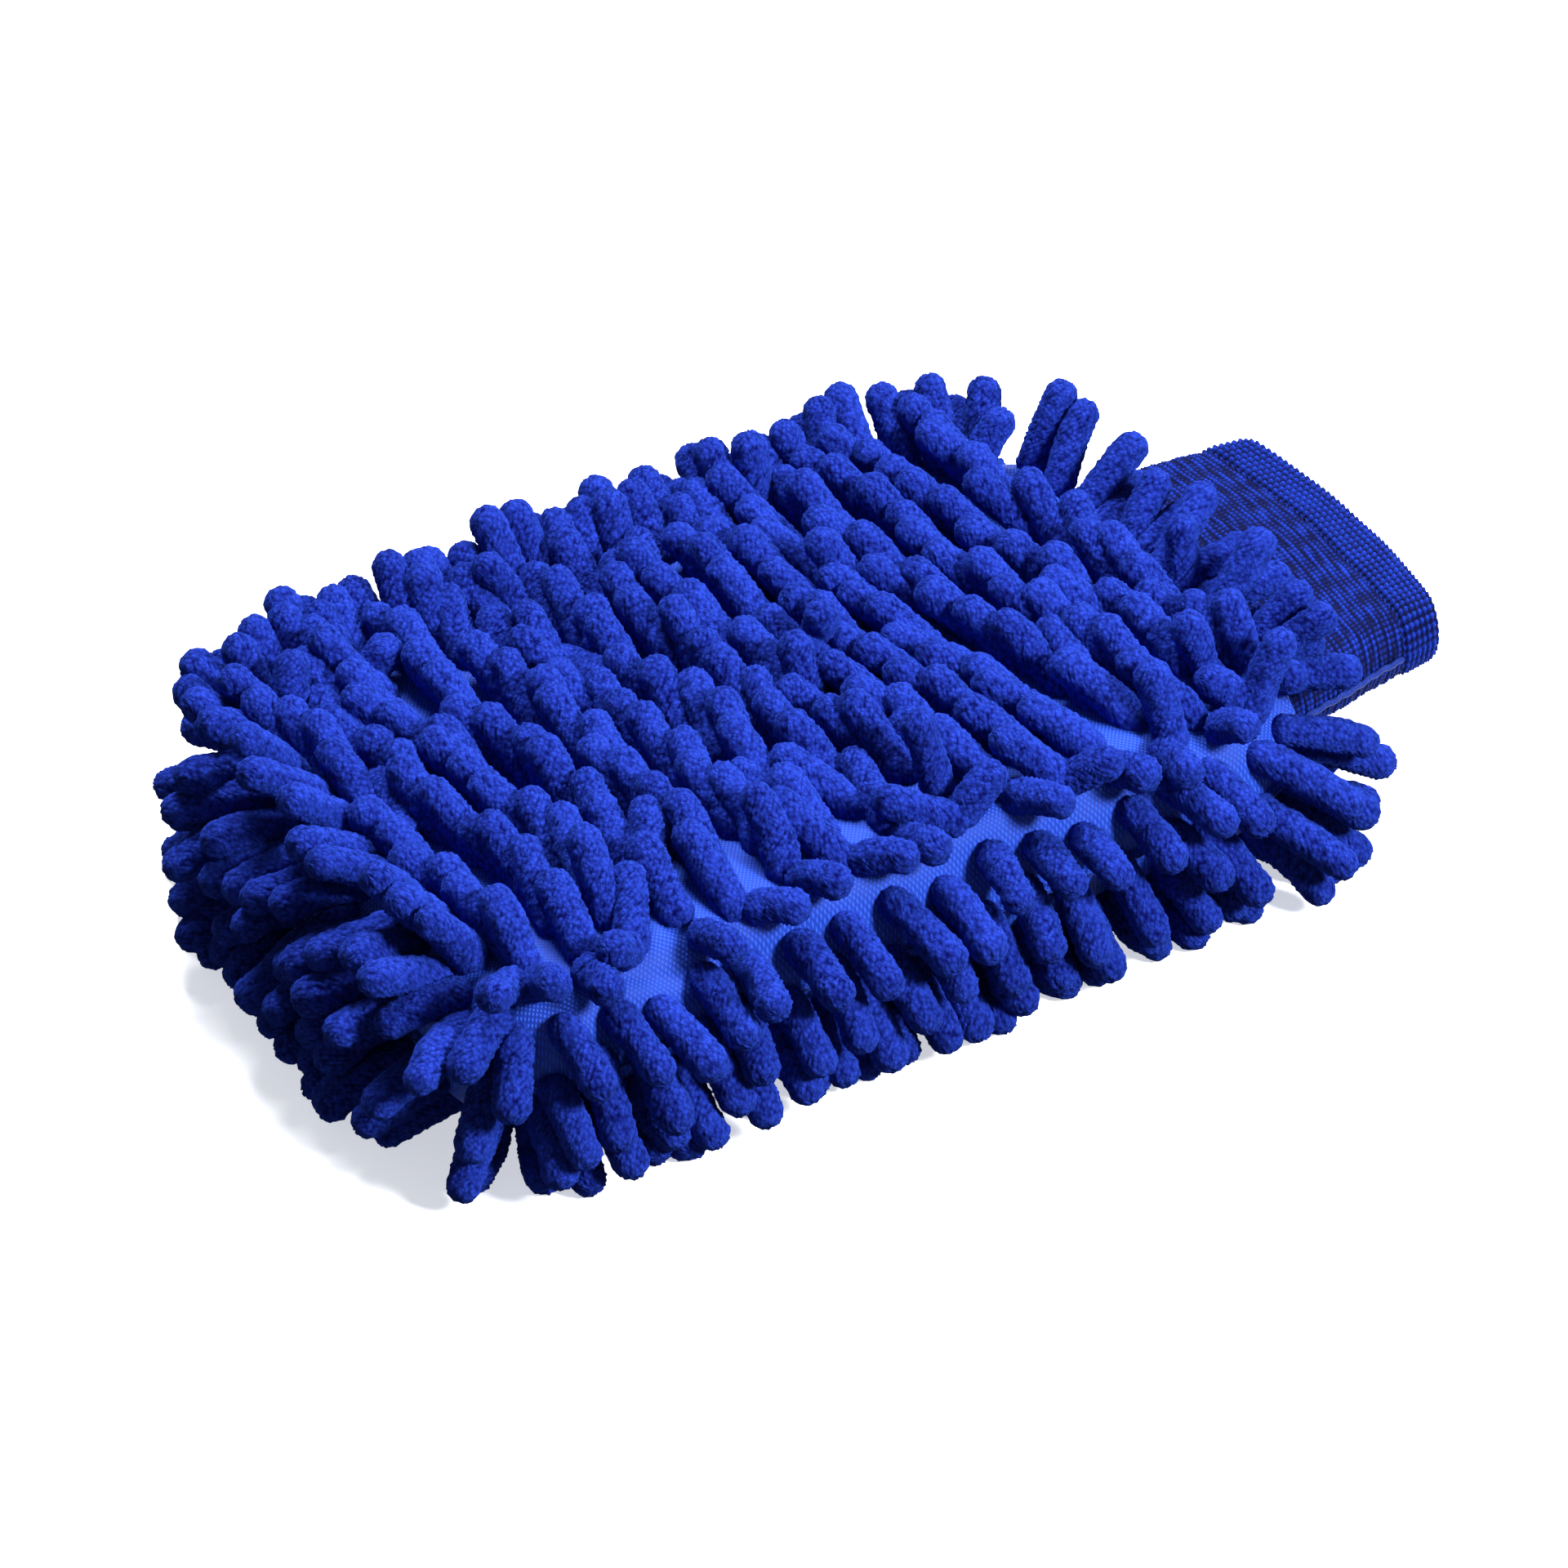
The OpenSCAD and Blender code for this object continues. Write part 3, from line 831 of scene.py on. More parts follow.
    def side_layer(self, lift_deg: float, pitch: float, offset: float, sides: str = "near far end") -> None:
        """A layer of tufts round the rolled side, shared out among the fringe nodes.

        Args:
            lift_deg: height on the roll, from -90 under the mitt to 90 at the deck.
            pitch: the distance between tufts, in metres.
            offset: where the first one starts, as a share of the pitch.
            sides: which sides get it.
        """
        form = self.pocket
        rng = np.random.default_rng(SEED + Draw.SIDE_LAYER + int(lift_deg))
        around = 4 * (form.half_w + form.half_l - 2 * form.corner) + 2 * math.pi * form.corner
        count = int(around / pitch)
        t = (np.arange(count) + offset) / count + rng.normal(0, self.along_jitter / count, count)
        lift = math.radians(lift_deg) + rng.normal(0, self.lift_jitter, count)
        roots, out = form.point(t, lift)
        flat = unit(out * [1, 1, 0])
        last, beside = form.mouth_y - 14 * MM, self.cuff.half_w + 5 * MM
        at_mouth = (roots[:, 1] > last) & (np.abs(roots[:, 0]) < beside)
        at_mouth &= (abs(lift_deg) < 50) | (roots[:, 0] < 6 * MM)
        ways = unit(out * 0.6 + flat * 0.75)
        facing_side, facing_end = 0.4, 0.5
        near = flat[:, 0] > facing_side
        far = flat[:, 0] < -facing_side
        end = flat[:, 1] < -facing_end
        high = math.sin(math.radians(lift_deg))
        droop = np.where(near, self.near_droop, 0.0) + np.where(end, self.end_droop, 0.0)
        above_roll, at_deck = 0.5, 0.95
        ways[:, 2] += droop + np.where(far, self.far_rise, 0.0) * (high > above_roll)
        if high > at_deck:
            ways = np.where(near[:, None], flat * 0.95 + UP * 0.6, unit(out + 0.7 * flat))
        along = ((roots[:, 1] - form.mid_y) / form.half_l).clip(-1, 1)
        ways[:, 1] += np.where(near, 0.05 + 1.1 * along.clip(0, 1) ** 3, 0.0)
        far_wrist = (flat[:, 0] < 0.1) & (roots[:, 1] > form.mouth_y - 34 * MM)
        ways[far_wrist, 2] += 0.3 * max(high, 0.0)
        ways += rng.normal(0, self.way_jitter, ways.shape)
        named = {"near": near & ~end, "far": far & ~end, "end": end, "wrist": ~near & ~far & ~end}
        shoulders = named["wrist"] & ("far" in sides)
        wanted = np.any([named[word] for word in sides.split()] + [shoulders], axis=0)
        roots, ways = roots[wanted], ways[wanted]
        at_mouth = at_mouth[wanted]
        level = "upper" if lift_deg > 0 else "lower"
        straight_y = form.half_l - form.corner
        straight_x = form.half_w - form.corner
        y = roots[:, 1] - form.mid_y
        x = roots[:, 0]
        zone = {
            f"near_fringe_{level}": (x > 0) & (np.abs(y) <= straight_y),
            f"far_fringe_{level}": (x < 0) & (np.abs(y) <= straight_y),
            f"closed_end_fringe_{level}": (y < -straight_y) & (np.abs(x) <= straight_x),
            f"near_corner_fringe_{level}": (y < -straight_y) & (x > straight_x),
            f"far_corner_fringe_{level}": (y < -straight_y) & (x < -straight_x),
            "near_wrist_fringe": (y > straight_y) & (x > 0) & ~at_mouth,
            "far_wrist_fringe": (y > straight_y) & (x < 0) & ~at_mouth,
        }
        for node, here in zone.items():
            if here.any():
                self.add(node, roots[here], ways[here], self.stretch(node, sides))

    def stretch(self, node: str, sides: str) -> float:
        """How long the tufts of a run are, against the usual length."""
        if sides == "near":
            return self.near_top_stretch
        if sides == "far end" and node == "far_fringe_upper":
            return self.far_top_stretch
        if node == "near_wrist_fringe":
            return self.near_wrist_stretch
        return self.closed_end_stretch if "closed" in node else self.fringe_stretch

    def mouth_row(self, node: str, side: Side, lift_deg: float) -> None:
        """The last row before the cuff, lying out over it or under it."""
        form = self.pocket
        rng = np.random.default_rng(SEED + Draw.MOUTH_ROW + side.value + int(lift_deg))
        count, reach = 11, 50 * MM
        x = np.linspace(-reach, reach, count) + rng.normal(0, 1 * MM, count)
        lift = side.value * math.radians(lift_deg)
        inset = form.roll * (1 - math.cos(lift))
        y = np.full(count, form.mouth_y - inset)
        y -= np.maximum(np.abs(x) - (form.half_w - form.corner), 0) ** 2 / (2 * form.corner)
        z = np.full(count, form.seam_z + form.half_h * math.sin(lift))
        fan_out, stray = 0.35, 0.45
        fan = fan_out * x / (40 * MM) + rng.normal(0, stray, count)
        ahead = rng.uniform(0.4, 0.9, count)
        raised = side.value * rng.uniform(0.2, 1.1, count)
        ways = np.stack([fan, ahead, raised], 1)
        self.add(node, np.stack([x, y, z], 1), ways)

    def lay_out(self) -> None:
        """Sets out all the tufts."""
        for number in ROWS:
            self.deck_row(number)
            self.under_row(number)
        self.side_layer(84, 11.5 * MM, 0.3, "end")
        self.side_layer(81, 15.0 * MM, 0.1, "near")
        self.side_layer(62, 11.5 * MM, 0.0, "far end")
        self.side_layer(39, 13.2 * MM, 0.5)
        self.side_layer(4, 13.2 * MM, 0.1)
        self.side_layer(-30, 12.5 * MM, 0.6)
        self.side_layer(-62, 13.5 * MM, 0.2)
        self.mouth_row("top_wrist_row", Side.TOP, 62)
        self.mouth_row("bottom_wrist_row", Side.BOTTOM, 60)
        log.info("pile: %d tufts in %d runs", sum(len(t.roots) for t in self.tufts), len(self.tufts))


# ---------------------------------------------------------------- pile: how it settles


@dataclass
class PileSettler:
    """Lets the noodles fall, lean on one another and come to rest.

    Each noodle is a chain of beads. Its root stays in the cloth; the rest is pulled down, kept from
    bending sharply, and kept out of the pocket, the cuff, the floor and every other noodle.
    """

    plan: PilePlan
    steps: int = 150
    gravity: float = 0.10 * MM
    drag: float = 0.80
    squash: float = 0.88
    row_squash: float = 0.60
    root_hold: float = 0.22
    spring: float = 0.10
    touch_reach: float = 2.9
    push_gain: float = 1.35
    wall_press: float = 0.88
    wall_gain: float = 0.8
    recheck: int = 12

    def start(self) -> None:
        """Gathers the chains of every run into arrays."""
        beads = self.plan.yarn.beads
        self.roots = np.concatenate([t.roots for t in self.plan.tufts])
        self.ways = np.concatenate([t.ways for t in self.plan.tufts])
        self.radii = np.concatenate([t.radii for t in self.plan.tufts])
        lengths = np.concatenate([t.lengths for t in self.plan.tufts])
        marks = [k if t.node.startswith("top_row") else -1 - k for k, t in enumerate(self.plan.tufts)]
        self.row = np.repeat(marks, [len(t.roots) for t in self.plan.tufts])
        self.step_len = (lengths - self.radii) / (beads - 1)
        reach = np.arange(beads)[None, :, None] * self.step_len[:, None, None]
        self.beads = self.roots[:, None, :] + self.ways[:, None, :] * reach
        self.last = self.beads.copy()

    def neighbours(self) -> tuple[np.ndarray, np.ndarray]:
        """Pairs of beads of different noodles that are close enough to touch soon."""
        p = self.beads.reshape(-1, 3).astype(np.float32)
        owner = np.repeat(np.arange(len(self.roots)), self.beads.shape[1])
        near = (self.touch_reach * self.plan.yarn.radius) ** 2
        square = (p**2).sum(1)
        first, second = [], []
        block = 1000
        for begin in range(0, len(p), block):
            part = slice(begin, begin + block)
            gap = square[part, None] + square[None, :] - 2 * p[part] @ p.T
            i, j = np.nonzero(gap < near)
            i = i + begin
            keep = (i < j) & (owner[i] != owner[j])
            first.append(i[keep])
            second.append(j[keep])
        return np.concatenate(first), np.concatenate(second)

    def part(self, pairs: tuple[np.ndarray, np.ndarray]) -> None:
        """Pushes touching noodles apart."""
        i, j = pairs
        count = self.beads.shape[1]
        p = self.beads.reshape(-1, 3)
        away = p[i] - p[j]
        far = np.maximum(np.linalg.norm(away, axis=1), 1e-6)
        a, b = i // count, j // count
        press = np.where((self.row[a] == self.row[b]) & (self.row[a] >= 0), self.row_squash, self.squash)
        need = (self.radii[a] + self.radii[b]) * press
        short = np.maximum(need - far, 0.0)
        push = away * (short / far * 0.5)[:, None]
        total = np.zeros_like(p)
        for axis in range(3):
            along = push[:, axis]
            total[:, axis] = np.bincount(i, along, len(p)) - np.bincount(j, along, len(p))
        pressed = short > 0
        hits = sum(np.bincount(k[pressed], minlength=len(p)) for k in (i, j))
        p += total / np.maximum(hits, 1)[:, None] * self.push_gain

    def hold(self) -> None:
        """Keeps each chain's length, its root and its gentle curve."""
        b, s = self.beads, self.step_len[:, None]
        b[:, 0] = self.roots
        aim = self.roots + self.ways * s
        b[:, 1] += (aim - b[:, 1]) * self.root_hold
        for k in range(2, b.shape[1]):
            straight = 2 * b[:, k - 1] - b[:, k - 2]
            b[:, k] += (straight - b[:, k]) * self.spring
        for k in range(1, b.shape[1]):
            link = b[:, k] - b[:, k - 1]
            far = np.maximum(np.linalg.norm(link, axis=1, keepdims=True), 1e-9)
            b[:, k] = b[:, k - 1] + link / far * s

    def keep_out(self) -> None:
        """Keeps the chains out of the pocket, the cuff and the floor."""
        count = self.beads.shape[1]
        p = self.beads[:, 1:].reshape(-1, 3)
        r = np.repeat(self.radii, count - 1) * self.wall_press
        for form in (self.plan.pocket, self.plan.cuff):
            gap, out = form.clearance(p)
            p += out * np.maximum(r - gap, 0.0)[:, None] * self.wall_gain
        p[:, 2] = np.maximum(p[:, 2], r)
        self.beads[:, 1:] = p.reshape(-1, count - 1, 3)

    def settle(self) -> np.ndarray:
        """Runs to rest and gives the beads, (noodles, beads, 3)."""
        self.start()
        pairs = self.neighbours()
        for step in range(self.steps):
            if step % self.recheck == self.recheck - 1:
                pairs = self.neighbours()
            moved = self.beads - self.last
            self.last = self.beads.copy()
            cool = self.drag * (1 - 0.5 * step / self.steps)
            self.beads = self.beads + moved * cool
            self.beads[:, 1:, 2] -= self.gravity
            for _ in range(2):
                self.part(pairs)
                self.hold()
                self.keep_out()
        log.info("pile: settled %d noodles", len(self.roots))
        return self.beads


@dataclass
class NoodleSkin:
    """Covers settled chains with fluffy skins."""

    spacing: float = 0.76 * MM
    fluff: float = 0.46 * MM
    tip_rings: int = 5
    tail: float = 1.6 * MM
    mean_fluff: float = 0.45
    swell: float = 0.035
    root_round: float = 0.8
    root_pinch: float = 0.95
    # what the fluff is made of: loose fibres, regular knots, and tufts a few points wide
    loose_share: float = 0.6
    knot_share: float = 0.3
    soft_share: float = 0.1

    def centreline(self, beads: np.ndarray, rings: int) -> np.ndarray:
        """Smooth lines through the beads, (noodles, rings, 3)."""
        n = beads.shape[1]
        link = beads[:, :1] - beads[:, 1:2]
        far = np.linalg.norm(link, axis=2, keepdims=True)
        longest = 0.4
        first = beads[:, :1] + link * np.minimum(longest, self.tail / far)
        beads = np.concatenate([first, beads[:, 1:]], 1)
        before = 2 * beads[:, :1] - beads[:, 1:2]
        after = 2 * beads[:, -1:] - beads[:, -2:-1]
        padded = np.concatenate([before, beads, after], 1)
        t = np.linspace(0, n - 1, rings)
        k = np.minimum(t.astype(int), n - 2)
        f = (t - k)[None, :, None]
        a, b, c, d = (padded[:, k + i] for i in range(4))
        return 0.5 * (
            2 * b + (c - a) * f + (2 * a - 5 * b + 4 * c - d) * f**2 + (3 * b - a - 3 * c + d) * f**3
        )

    def skin(
        self, beads: np.ndarray, radii: np.ndarray, seed: int
    ) -> tuple[np.ndarray, np.ndarray, dict[str, np.ndarray]]:
        """The mesh of a run of noodles.

        Args:
            beads: (noodles, beads, 3) settled chains.
            radii: (noodles,) radius of each.
            seed: picks the fluff.

        Returns:
            Points, faces and values per point.
        """
        rng = np.random.default_rng(seed)
        count = len(beads)
        length = np.linalg.norm(np.diff(beads, axis=1), axis=2).sum(1).mean()
        rings = max(6, int(length / self.spacing))
        round_n = 2 * max(4, int(math.pi * radii.mean() / self.spacing))
        line = self.centreline(beads, rings)
        way = unit(np.gradient(line, axis=1))
        side = unit(np.cross(way[:, 0], [0.31, 0.52, 0.79]))
        sides = [side]
        for k in range(1, rings):
            side = unit(side - way[:, k] * (side * way[:, k]).sum(-1, keepdims=True))
            sides.append(side)
        side = np.stack(sides, 1)
        up = np.cross(way, side)
        angle = np.arange(round_n) / round_n * 2 * math.pi
        body = np.cos(angle)[:, None] * side[:, :, None, :] + np.sin(angle)[:, None] * up[:, :, None, :]
        slow = rng.normal(0, 1, (count, 4))
        s = np.linspace(0, 1, rings)
        swell = 1 + self.swell * (slow[:, :1] * np.sin(5 * s) + slow[:, 1:2] * np.cos(8 * s + slow[:, 2:3]))
        base = 1 - np.minimum(s * length / (self.root_round * radii.mean()), 1.0)
        swell = swell * np.sqrt(1 - self.root_pinch * base**2)
        radius = radii[:, None] * swell
        tube = line[:, :, None, :] + body * radius[:, :, None, None]
        direction = body.copy()
        dome = (np.arange(1, self.tip_rings + 1) / (self.tip_rings + 1)) * math.pi / 2
        end_way, end_body = way[:, -1][:, None, None, :], body[:, -1][:, None, :, :]
        cap_dir = end_body * np.cos(dome)[:, None, None] + end_way * np.sin(dome)[:, None, None]
        cap = line[:, -1][:, None, None, :] + cap_dir * radius[:, -1][:, None, None, None]
        surface = np.concatenate([tube, cap], 1)
        direction = np.concatenate([direction, cap_dir], 1)
        total_rings = rings + self.tip_rings
        fluff = rng.uniform(0, 1, (count, total_rings, round_n))
        pair = fluff + np.roll(fluff, 1, 2)
        soft = (pair + np.roll(pair, 1, 1)) / 4
        knots = np.add.outer(np.arange(total_rings), np.arange(round_n)) % 2
        spread = (soft - 0.5) * 2.2 + 0.5
        fluff = self.loose_share * fluff + self.knot_share * knots + self.soft_share * spread
        fluff = fluff.clip(0, 1)
        surface = surface + direction * ((fluff - self.mean_fluff) * 2 * self.fluff)[..., None]
        tip = line[:, -1] + way[:, -1] * radius[:, -1:]
        points = np.concatenate([surface.reshape(count, -1, 3), tip[:, None]], 1)
        quads = grid_quads(total_rings, round_n, True)
        last = (total_rings - 1) * round_n
        j = np.arange(round_n)
        apex = np.full(round_n, total_rings * round_n)
        fan = np.stack([last + j, last + (j + 1) % round_n, apex, apex], 1)
        faces = np.concatenate([quads, fan])
        size = points.shape[1]
        faces = (faces[None] + (np.arange(count) * size)[:, None, None]).reshape(-1, 4)
        # the fluff values also become the mask of painted shade in the pits and painted light on the tips
        values = np.concatenate([fluff.reshape(count, -1), np.ones((count, 1)) * 0.6], 1)
        strand = np.repeat(rng.uniform(0, 1, count), size)
        return points.reshape(-1, 3), faces, {"fluff": values.clip(0, 1).ravel(), "strand": strand}


# ---------------------------------------------------------------- pocket


@dataclass
class PocketBag:
    """The sewn pocket: two cloth panels that are filled out with a short cloth simulation."""

    form: PocketForm
    cuff: CuffForm
    rings: int = 30
    roll_rings: int = 10
    frames: int = 14
    mouth_gap: float = 3.5 * MM
    seam_hold: float = 1.2 * MM
    mouth_hold: float = 7 * MM
    most_swell: float = 3.0 * MM
    wrinkle_depth: float = 0.5 * MM
    pleat_depth: float = 0.5 * MM

    def grid(self, side: Side) -> tuple[np.ndarray, np.ndarray]:
        """One panel as a square grid wrapped over its rounded outline."""
        n = self.rings
        i, j = np.meshgrid(np.arange(-n, n + 1), np.arange(-n, n + 1), indexing="ij")
        ring = np.maximum(np.abs(i), np.abs(j))
        safe = np.maximum(ring, 1)
        a, b = i / safe, j / safe
        t = np.select(
            [(a == 1) & (b >= 0), b == 1, a == -1, b == -1],
            [b / 8, 0.25 - a / 8, 0.5 - b / 8, 0.75 + a / 8],
            0.875 + (1 + b) / 8,
        )
        share = self.even(t.ravel())
        ring = ring.ravel()
        edge = n - self.roll_rings
        lift = np.radians(90.0) * (1 - ((ring - edge) / self.roll_rings).clip(0, 1))
        points, _ = self.form.point(share, np.where(ring >= edge, lift, math.pi / 2))
        middle = np.array([0.0, self.form.mid_y, 0.0])
        flat = (points - middle) * [1, 1, 0] * np.minimum(ring / edge, 1.0)[:, None]
        z = self.form.seam_z + side.value * (points[:, 2] - self.form.seam_z)
        made = flat + middle
        made[:, 2] = z
        quads = grid_quads(2 * n + 1, 2 * n + 1, False)
        return made, quads if side is Side.TOP else quads[:, ::-1]

    def even(self, t: np.ndarray) -> np.ndarray:
        """Turns a share of a square's edge into a share of the outline, corner to corner."""
        f = self.form
        side_l = 2 * (f.half_l - f.corner) + f.corner * math.pi / 2
        side_w = 2 * (f.half_w - f.corner) + f.corner * math.pi / 2
        whole = 2 * (side_l + side_w)
        marks = np.array([0, 1, 3, 5, 7, 8]) / 8
        real = np.cumsum([0, side_l / 2, side_w, side_l, side_w, side_l / 2]) / whole
        return np.interp(t % 1.0, marks, real)

    def fill_out(self, bag: bpy.types.Object) -> None:
        """Runs the cloth simulation and keeps its last frame as the mesh."""
        pins = bag.vertex_groups.new(name="sewn")
        co = np.array([v.co for v in bag.data.vertices])
        flat = np.abs(co[:, 2] - self.form.seam_z)
        held = np.nonzero((flat < self.seam_hold) | (co[:, 1] > self.form.mouth_y - self.mouth_hold))[0]
        pins.add(held.tolist(), 1.0, "REPLACE")
        cloth = bag.modifiers.new("cloth", "CLOTH")
        s = cloth.settings
        s.quality = 6
        s.mass = 0.1
        s.tension_stiffness = s.compression_stiffness = 18
        s.shear_stiffness = 8
        s.bending_stiffness = 0.06
        s.shrink_min = -0.02
        s.use_pressure = True
        s.uniform_pressure_force = 0.05
        s.vertex_group_mass = "sewn"
        s.effector_weights.gravity = 0.0
        cloth.collision_settings.use_collision = False
        cloth.point_cache.frame_start, cloth.point_cache.frame_end = 1, self.frames
        scene = bpy.context.scene
        for number in range(1, self.frames + 1):
            scene.frame_set(number)
        graph = bpy.context.evaluated_depsgraph_get()
        done = bag.evaluated_get(graph)
        after = np.array([v.co for v in done.data.vertices])
        shift = after - co
        worst = np.abs(shift).max()
        scale = self.most_swell / max(worst, self.most_swell)
        bag.modifiers.remove(cloth)
        scene.frame_set(1)
        bag.data.vertices.foreach_set("co", (co + shift * scale).astype(np.float32).ravel())
        bag.data.update()
        log.info("pocket: cloth moved up to %.1f mm, kept at %.2f of that", worst / MM, scale)

    def build(self) -> tuple[dict[Side, np.ndarray], dict[Side, np.ndarray]]:
        """Both panels after they have been filled out: points and faces by side."""
        points, faces = [], []
        for side in Side:
            p, q = self.grid(side)
            faces.append(q + sum(len(x) for x in points))
            points.append(p)
        bag = make_mesh("pocket bag", np.concatenate(points), np.concatenate(faces))
        self.fill_out(bag)
        co = np.array([v.co for v in bag.data.vertices])
        bpy.data.objects.remove(bag)
        split = len(points[0])
        parts = {Side.TOP: co[:split], Side.BOTTOM: co[split:]}
        quads = {s: self.grid(s)[1] for s in Side}
        return {s: self.pucker(p, s) for s, p in parts.items()}, quads

    def pucker(self, p: np.ndarray, side: Side) -> np.ndarray:
        """Adds the small gathers that tufting and the mouth seam pull into the cloth."""
        _, out = self.form.clearance(p)
        wrinkle = wave_noise(p * [1, 0.5, 1], 22 * MM, SEED + Draw.PUCKER + side.value, 2)
        gathered = 30 * MM
        near_mouth = ((p[:, 1] - (self.form.mouth_y - gathered)) / gathered).clip(0, 1)
        pleat = np.sin(p[:, 0] / (4.6 * MM)) * near_mouth
        return p + out * (wrinkle * self.wrinkle_depth + pleat * self.pleat_depth)[:, None]

    def open_mouth(self, p: np.ndarray, quads: np.ndarray) -> tuple[np.ndarray, np.ndarray]:
        """Cuts the hole that the cuff comes out of, and rounds its edge."""
        gap, _ = self.cuff.clearance(p * [1, 0, 1] + [0, self.cuff.fold_y, 0])
        inside = (gap < self.mouth_gap) & (p[:, 1] > self.form.mid_y)
        hidden = inside[quads].all(1)
        kept = quads[~hidden]
        rim = np.intersect1d(np.unique(kept), np.nonzero(inside)[0])
        moved = p.copy()
        at = moved[rim] * [1, 0, 1] + [0, self.cuff.fold_y, 0]
        gap, out = self.cuff.clearance(at)
        moved[rim] += out * (self.mouth_gap - gap)[:, None]
        return moved, kept


@dataclass
class Pocket:
    """All the cloth pieces of the pocket."""

    form: PocketForm
    cuff: CuffForm
    lining_gap: float = 1.7 * MM
    cloth_t: float = 0.9 * MM

    def panel(
        self, name: str, p: np.ndarray, quads: np.ndarray, finish: Finish, node: str, thick: float
    ) -> bpy.types.Object:
        """One cloth panel with a real thickness.

        Args:
            name: the object's name.
            p: its points, (n, 3).
            quads: its faces.
            finish: what it is made of.
            node: the CAD node it stands for.
            thick: the cloth's thickness, in metres.

        Returns:
            The new object.
        """
        made = make_mesh(name, p, quads)
        smooth = made.modifiers.new("soft folds", "SUBSURF")
        smooth.levels = smooth.render_levels = 1
        wall = made.modifiers.new("cloth thickness", "SOLIDIFY")
        wall.thickness = thick
        wall.offset = -1
        finish.put_on(made)
        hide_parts(node)
        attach(made, "mitt")
        return made

    def build(self) -> dict[Side, BVHTree]:
        """Makes the panels and the lining, and gives the cloth that tufts are set in."""
        bag = PocketBag(self.form, self.cuff)
        points, quads = bag.build()
        trees = {}
        for side in Side:
            word = side.name.lower()
            p, q = bag.open_mouth(points[side], quads[side])
            self.panel(f"{word} panel cloth", p, q, BACKING, f"{word}_panel", self.cloth_t)
            _, out = self.form.clearance(p)
            inner = p - out * self.lining_gap
            self.panel(f"{word} lining cloth", inner, q, LINING, f"{word}_lining", self.cloth_t / 2)
            trees[side] = BVHTree.FromPolygons([Vector(v) for v in points[side]], quads[side].tolist())
        log.info("pocket: two panels and two linings")
        return trees


# ---------------------------------------------------------------- thin sewn pieces


def swept(
    name: str,
    path: np.ndarray,
    radii: tuple[float, float],
    sides: int,
    closed: bool,
    flat_up: np.ndarray = UP,
) -> bpy.types.Object:
    """A thread, cord or band that follows a path.

    Args:
        name: the object's name.
        path: (n, 3) points.
        radii: half its width across the path, and half its height.
        sides: points round its section.
        closed: true if the path joins up with itself.
        flat_up: which way is up for the section.

    Returns:
        The new object.
    """
    ahead = np.roll(path, -1, 0) - np.roll(path, 1, 0)
    if not closed:
        ahead[0], ahead[-1] = path[1] - path[0], path[-1] - path[-2]
    way = unit(ahead)
    across = unit(np.cross(way, flat_up))
    up = np.cross(across, way)
    a = np.arange(sides) / sides * 2 * math.pi
    ring = across[:, None] * (np.cos(a) * radii[0])[:, None] + up[:, None] * (np.sin(a) * radii[1])[:, None]
    points = (path[:, None] + ring).reshape(-1, 3)
    quads = grid_quads(len(path), sides, True)
    if closed:
        last = (len(path) - 1) * sides
        j = np.arange(sides)
        k = (j + 1) % sides
        quads = np.concatenate([quads, np.stack([last + j, last + k, k, j], 1)])
    else:
        for start, flip in ((0, True), ((len(path) - 1) * sides, False)):
            j = np.arange(1, sides - 1)
            fan = np.stack([np.full(len(j), start), start + j, start + j + 1, start + j + 1], 1)
            quads = np.concatenate([quads, fan[:, [0, 2, 1, 1]] if flip else fan])
    return make_mesh(name, points, quads)


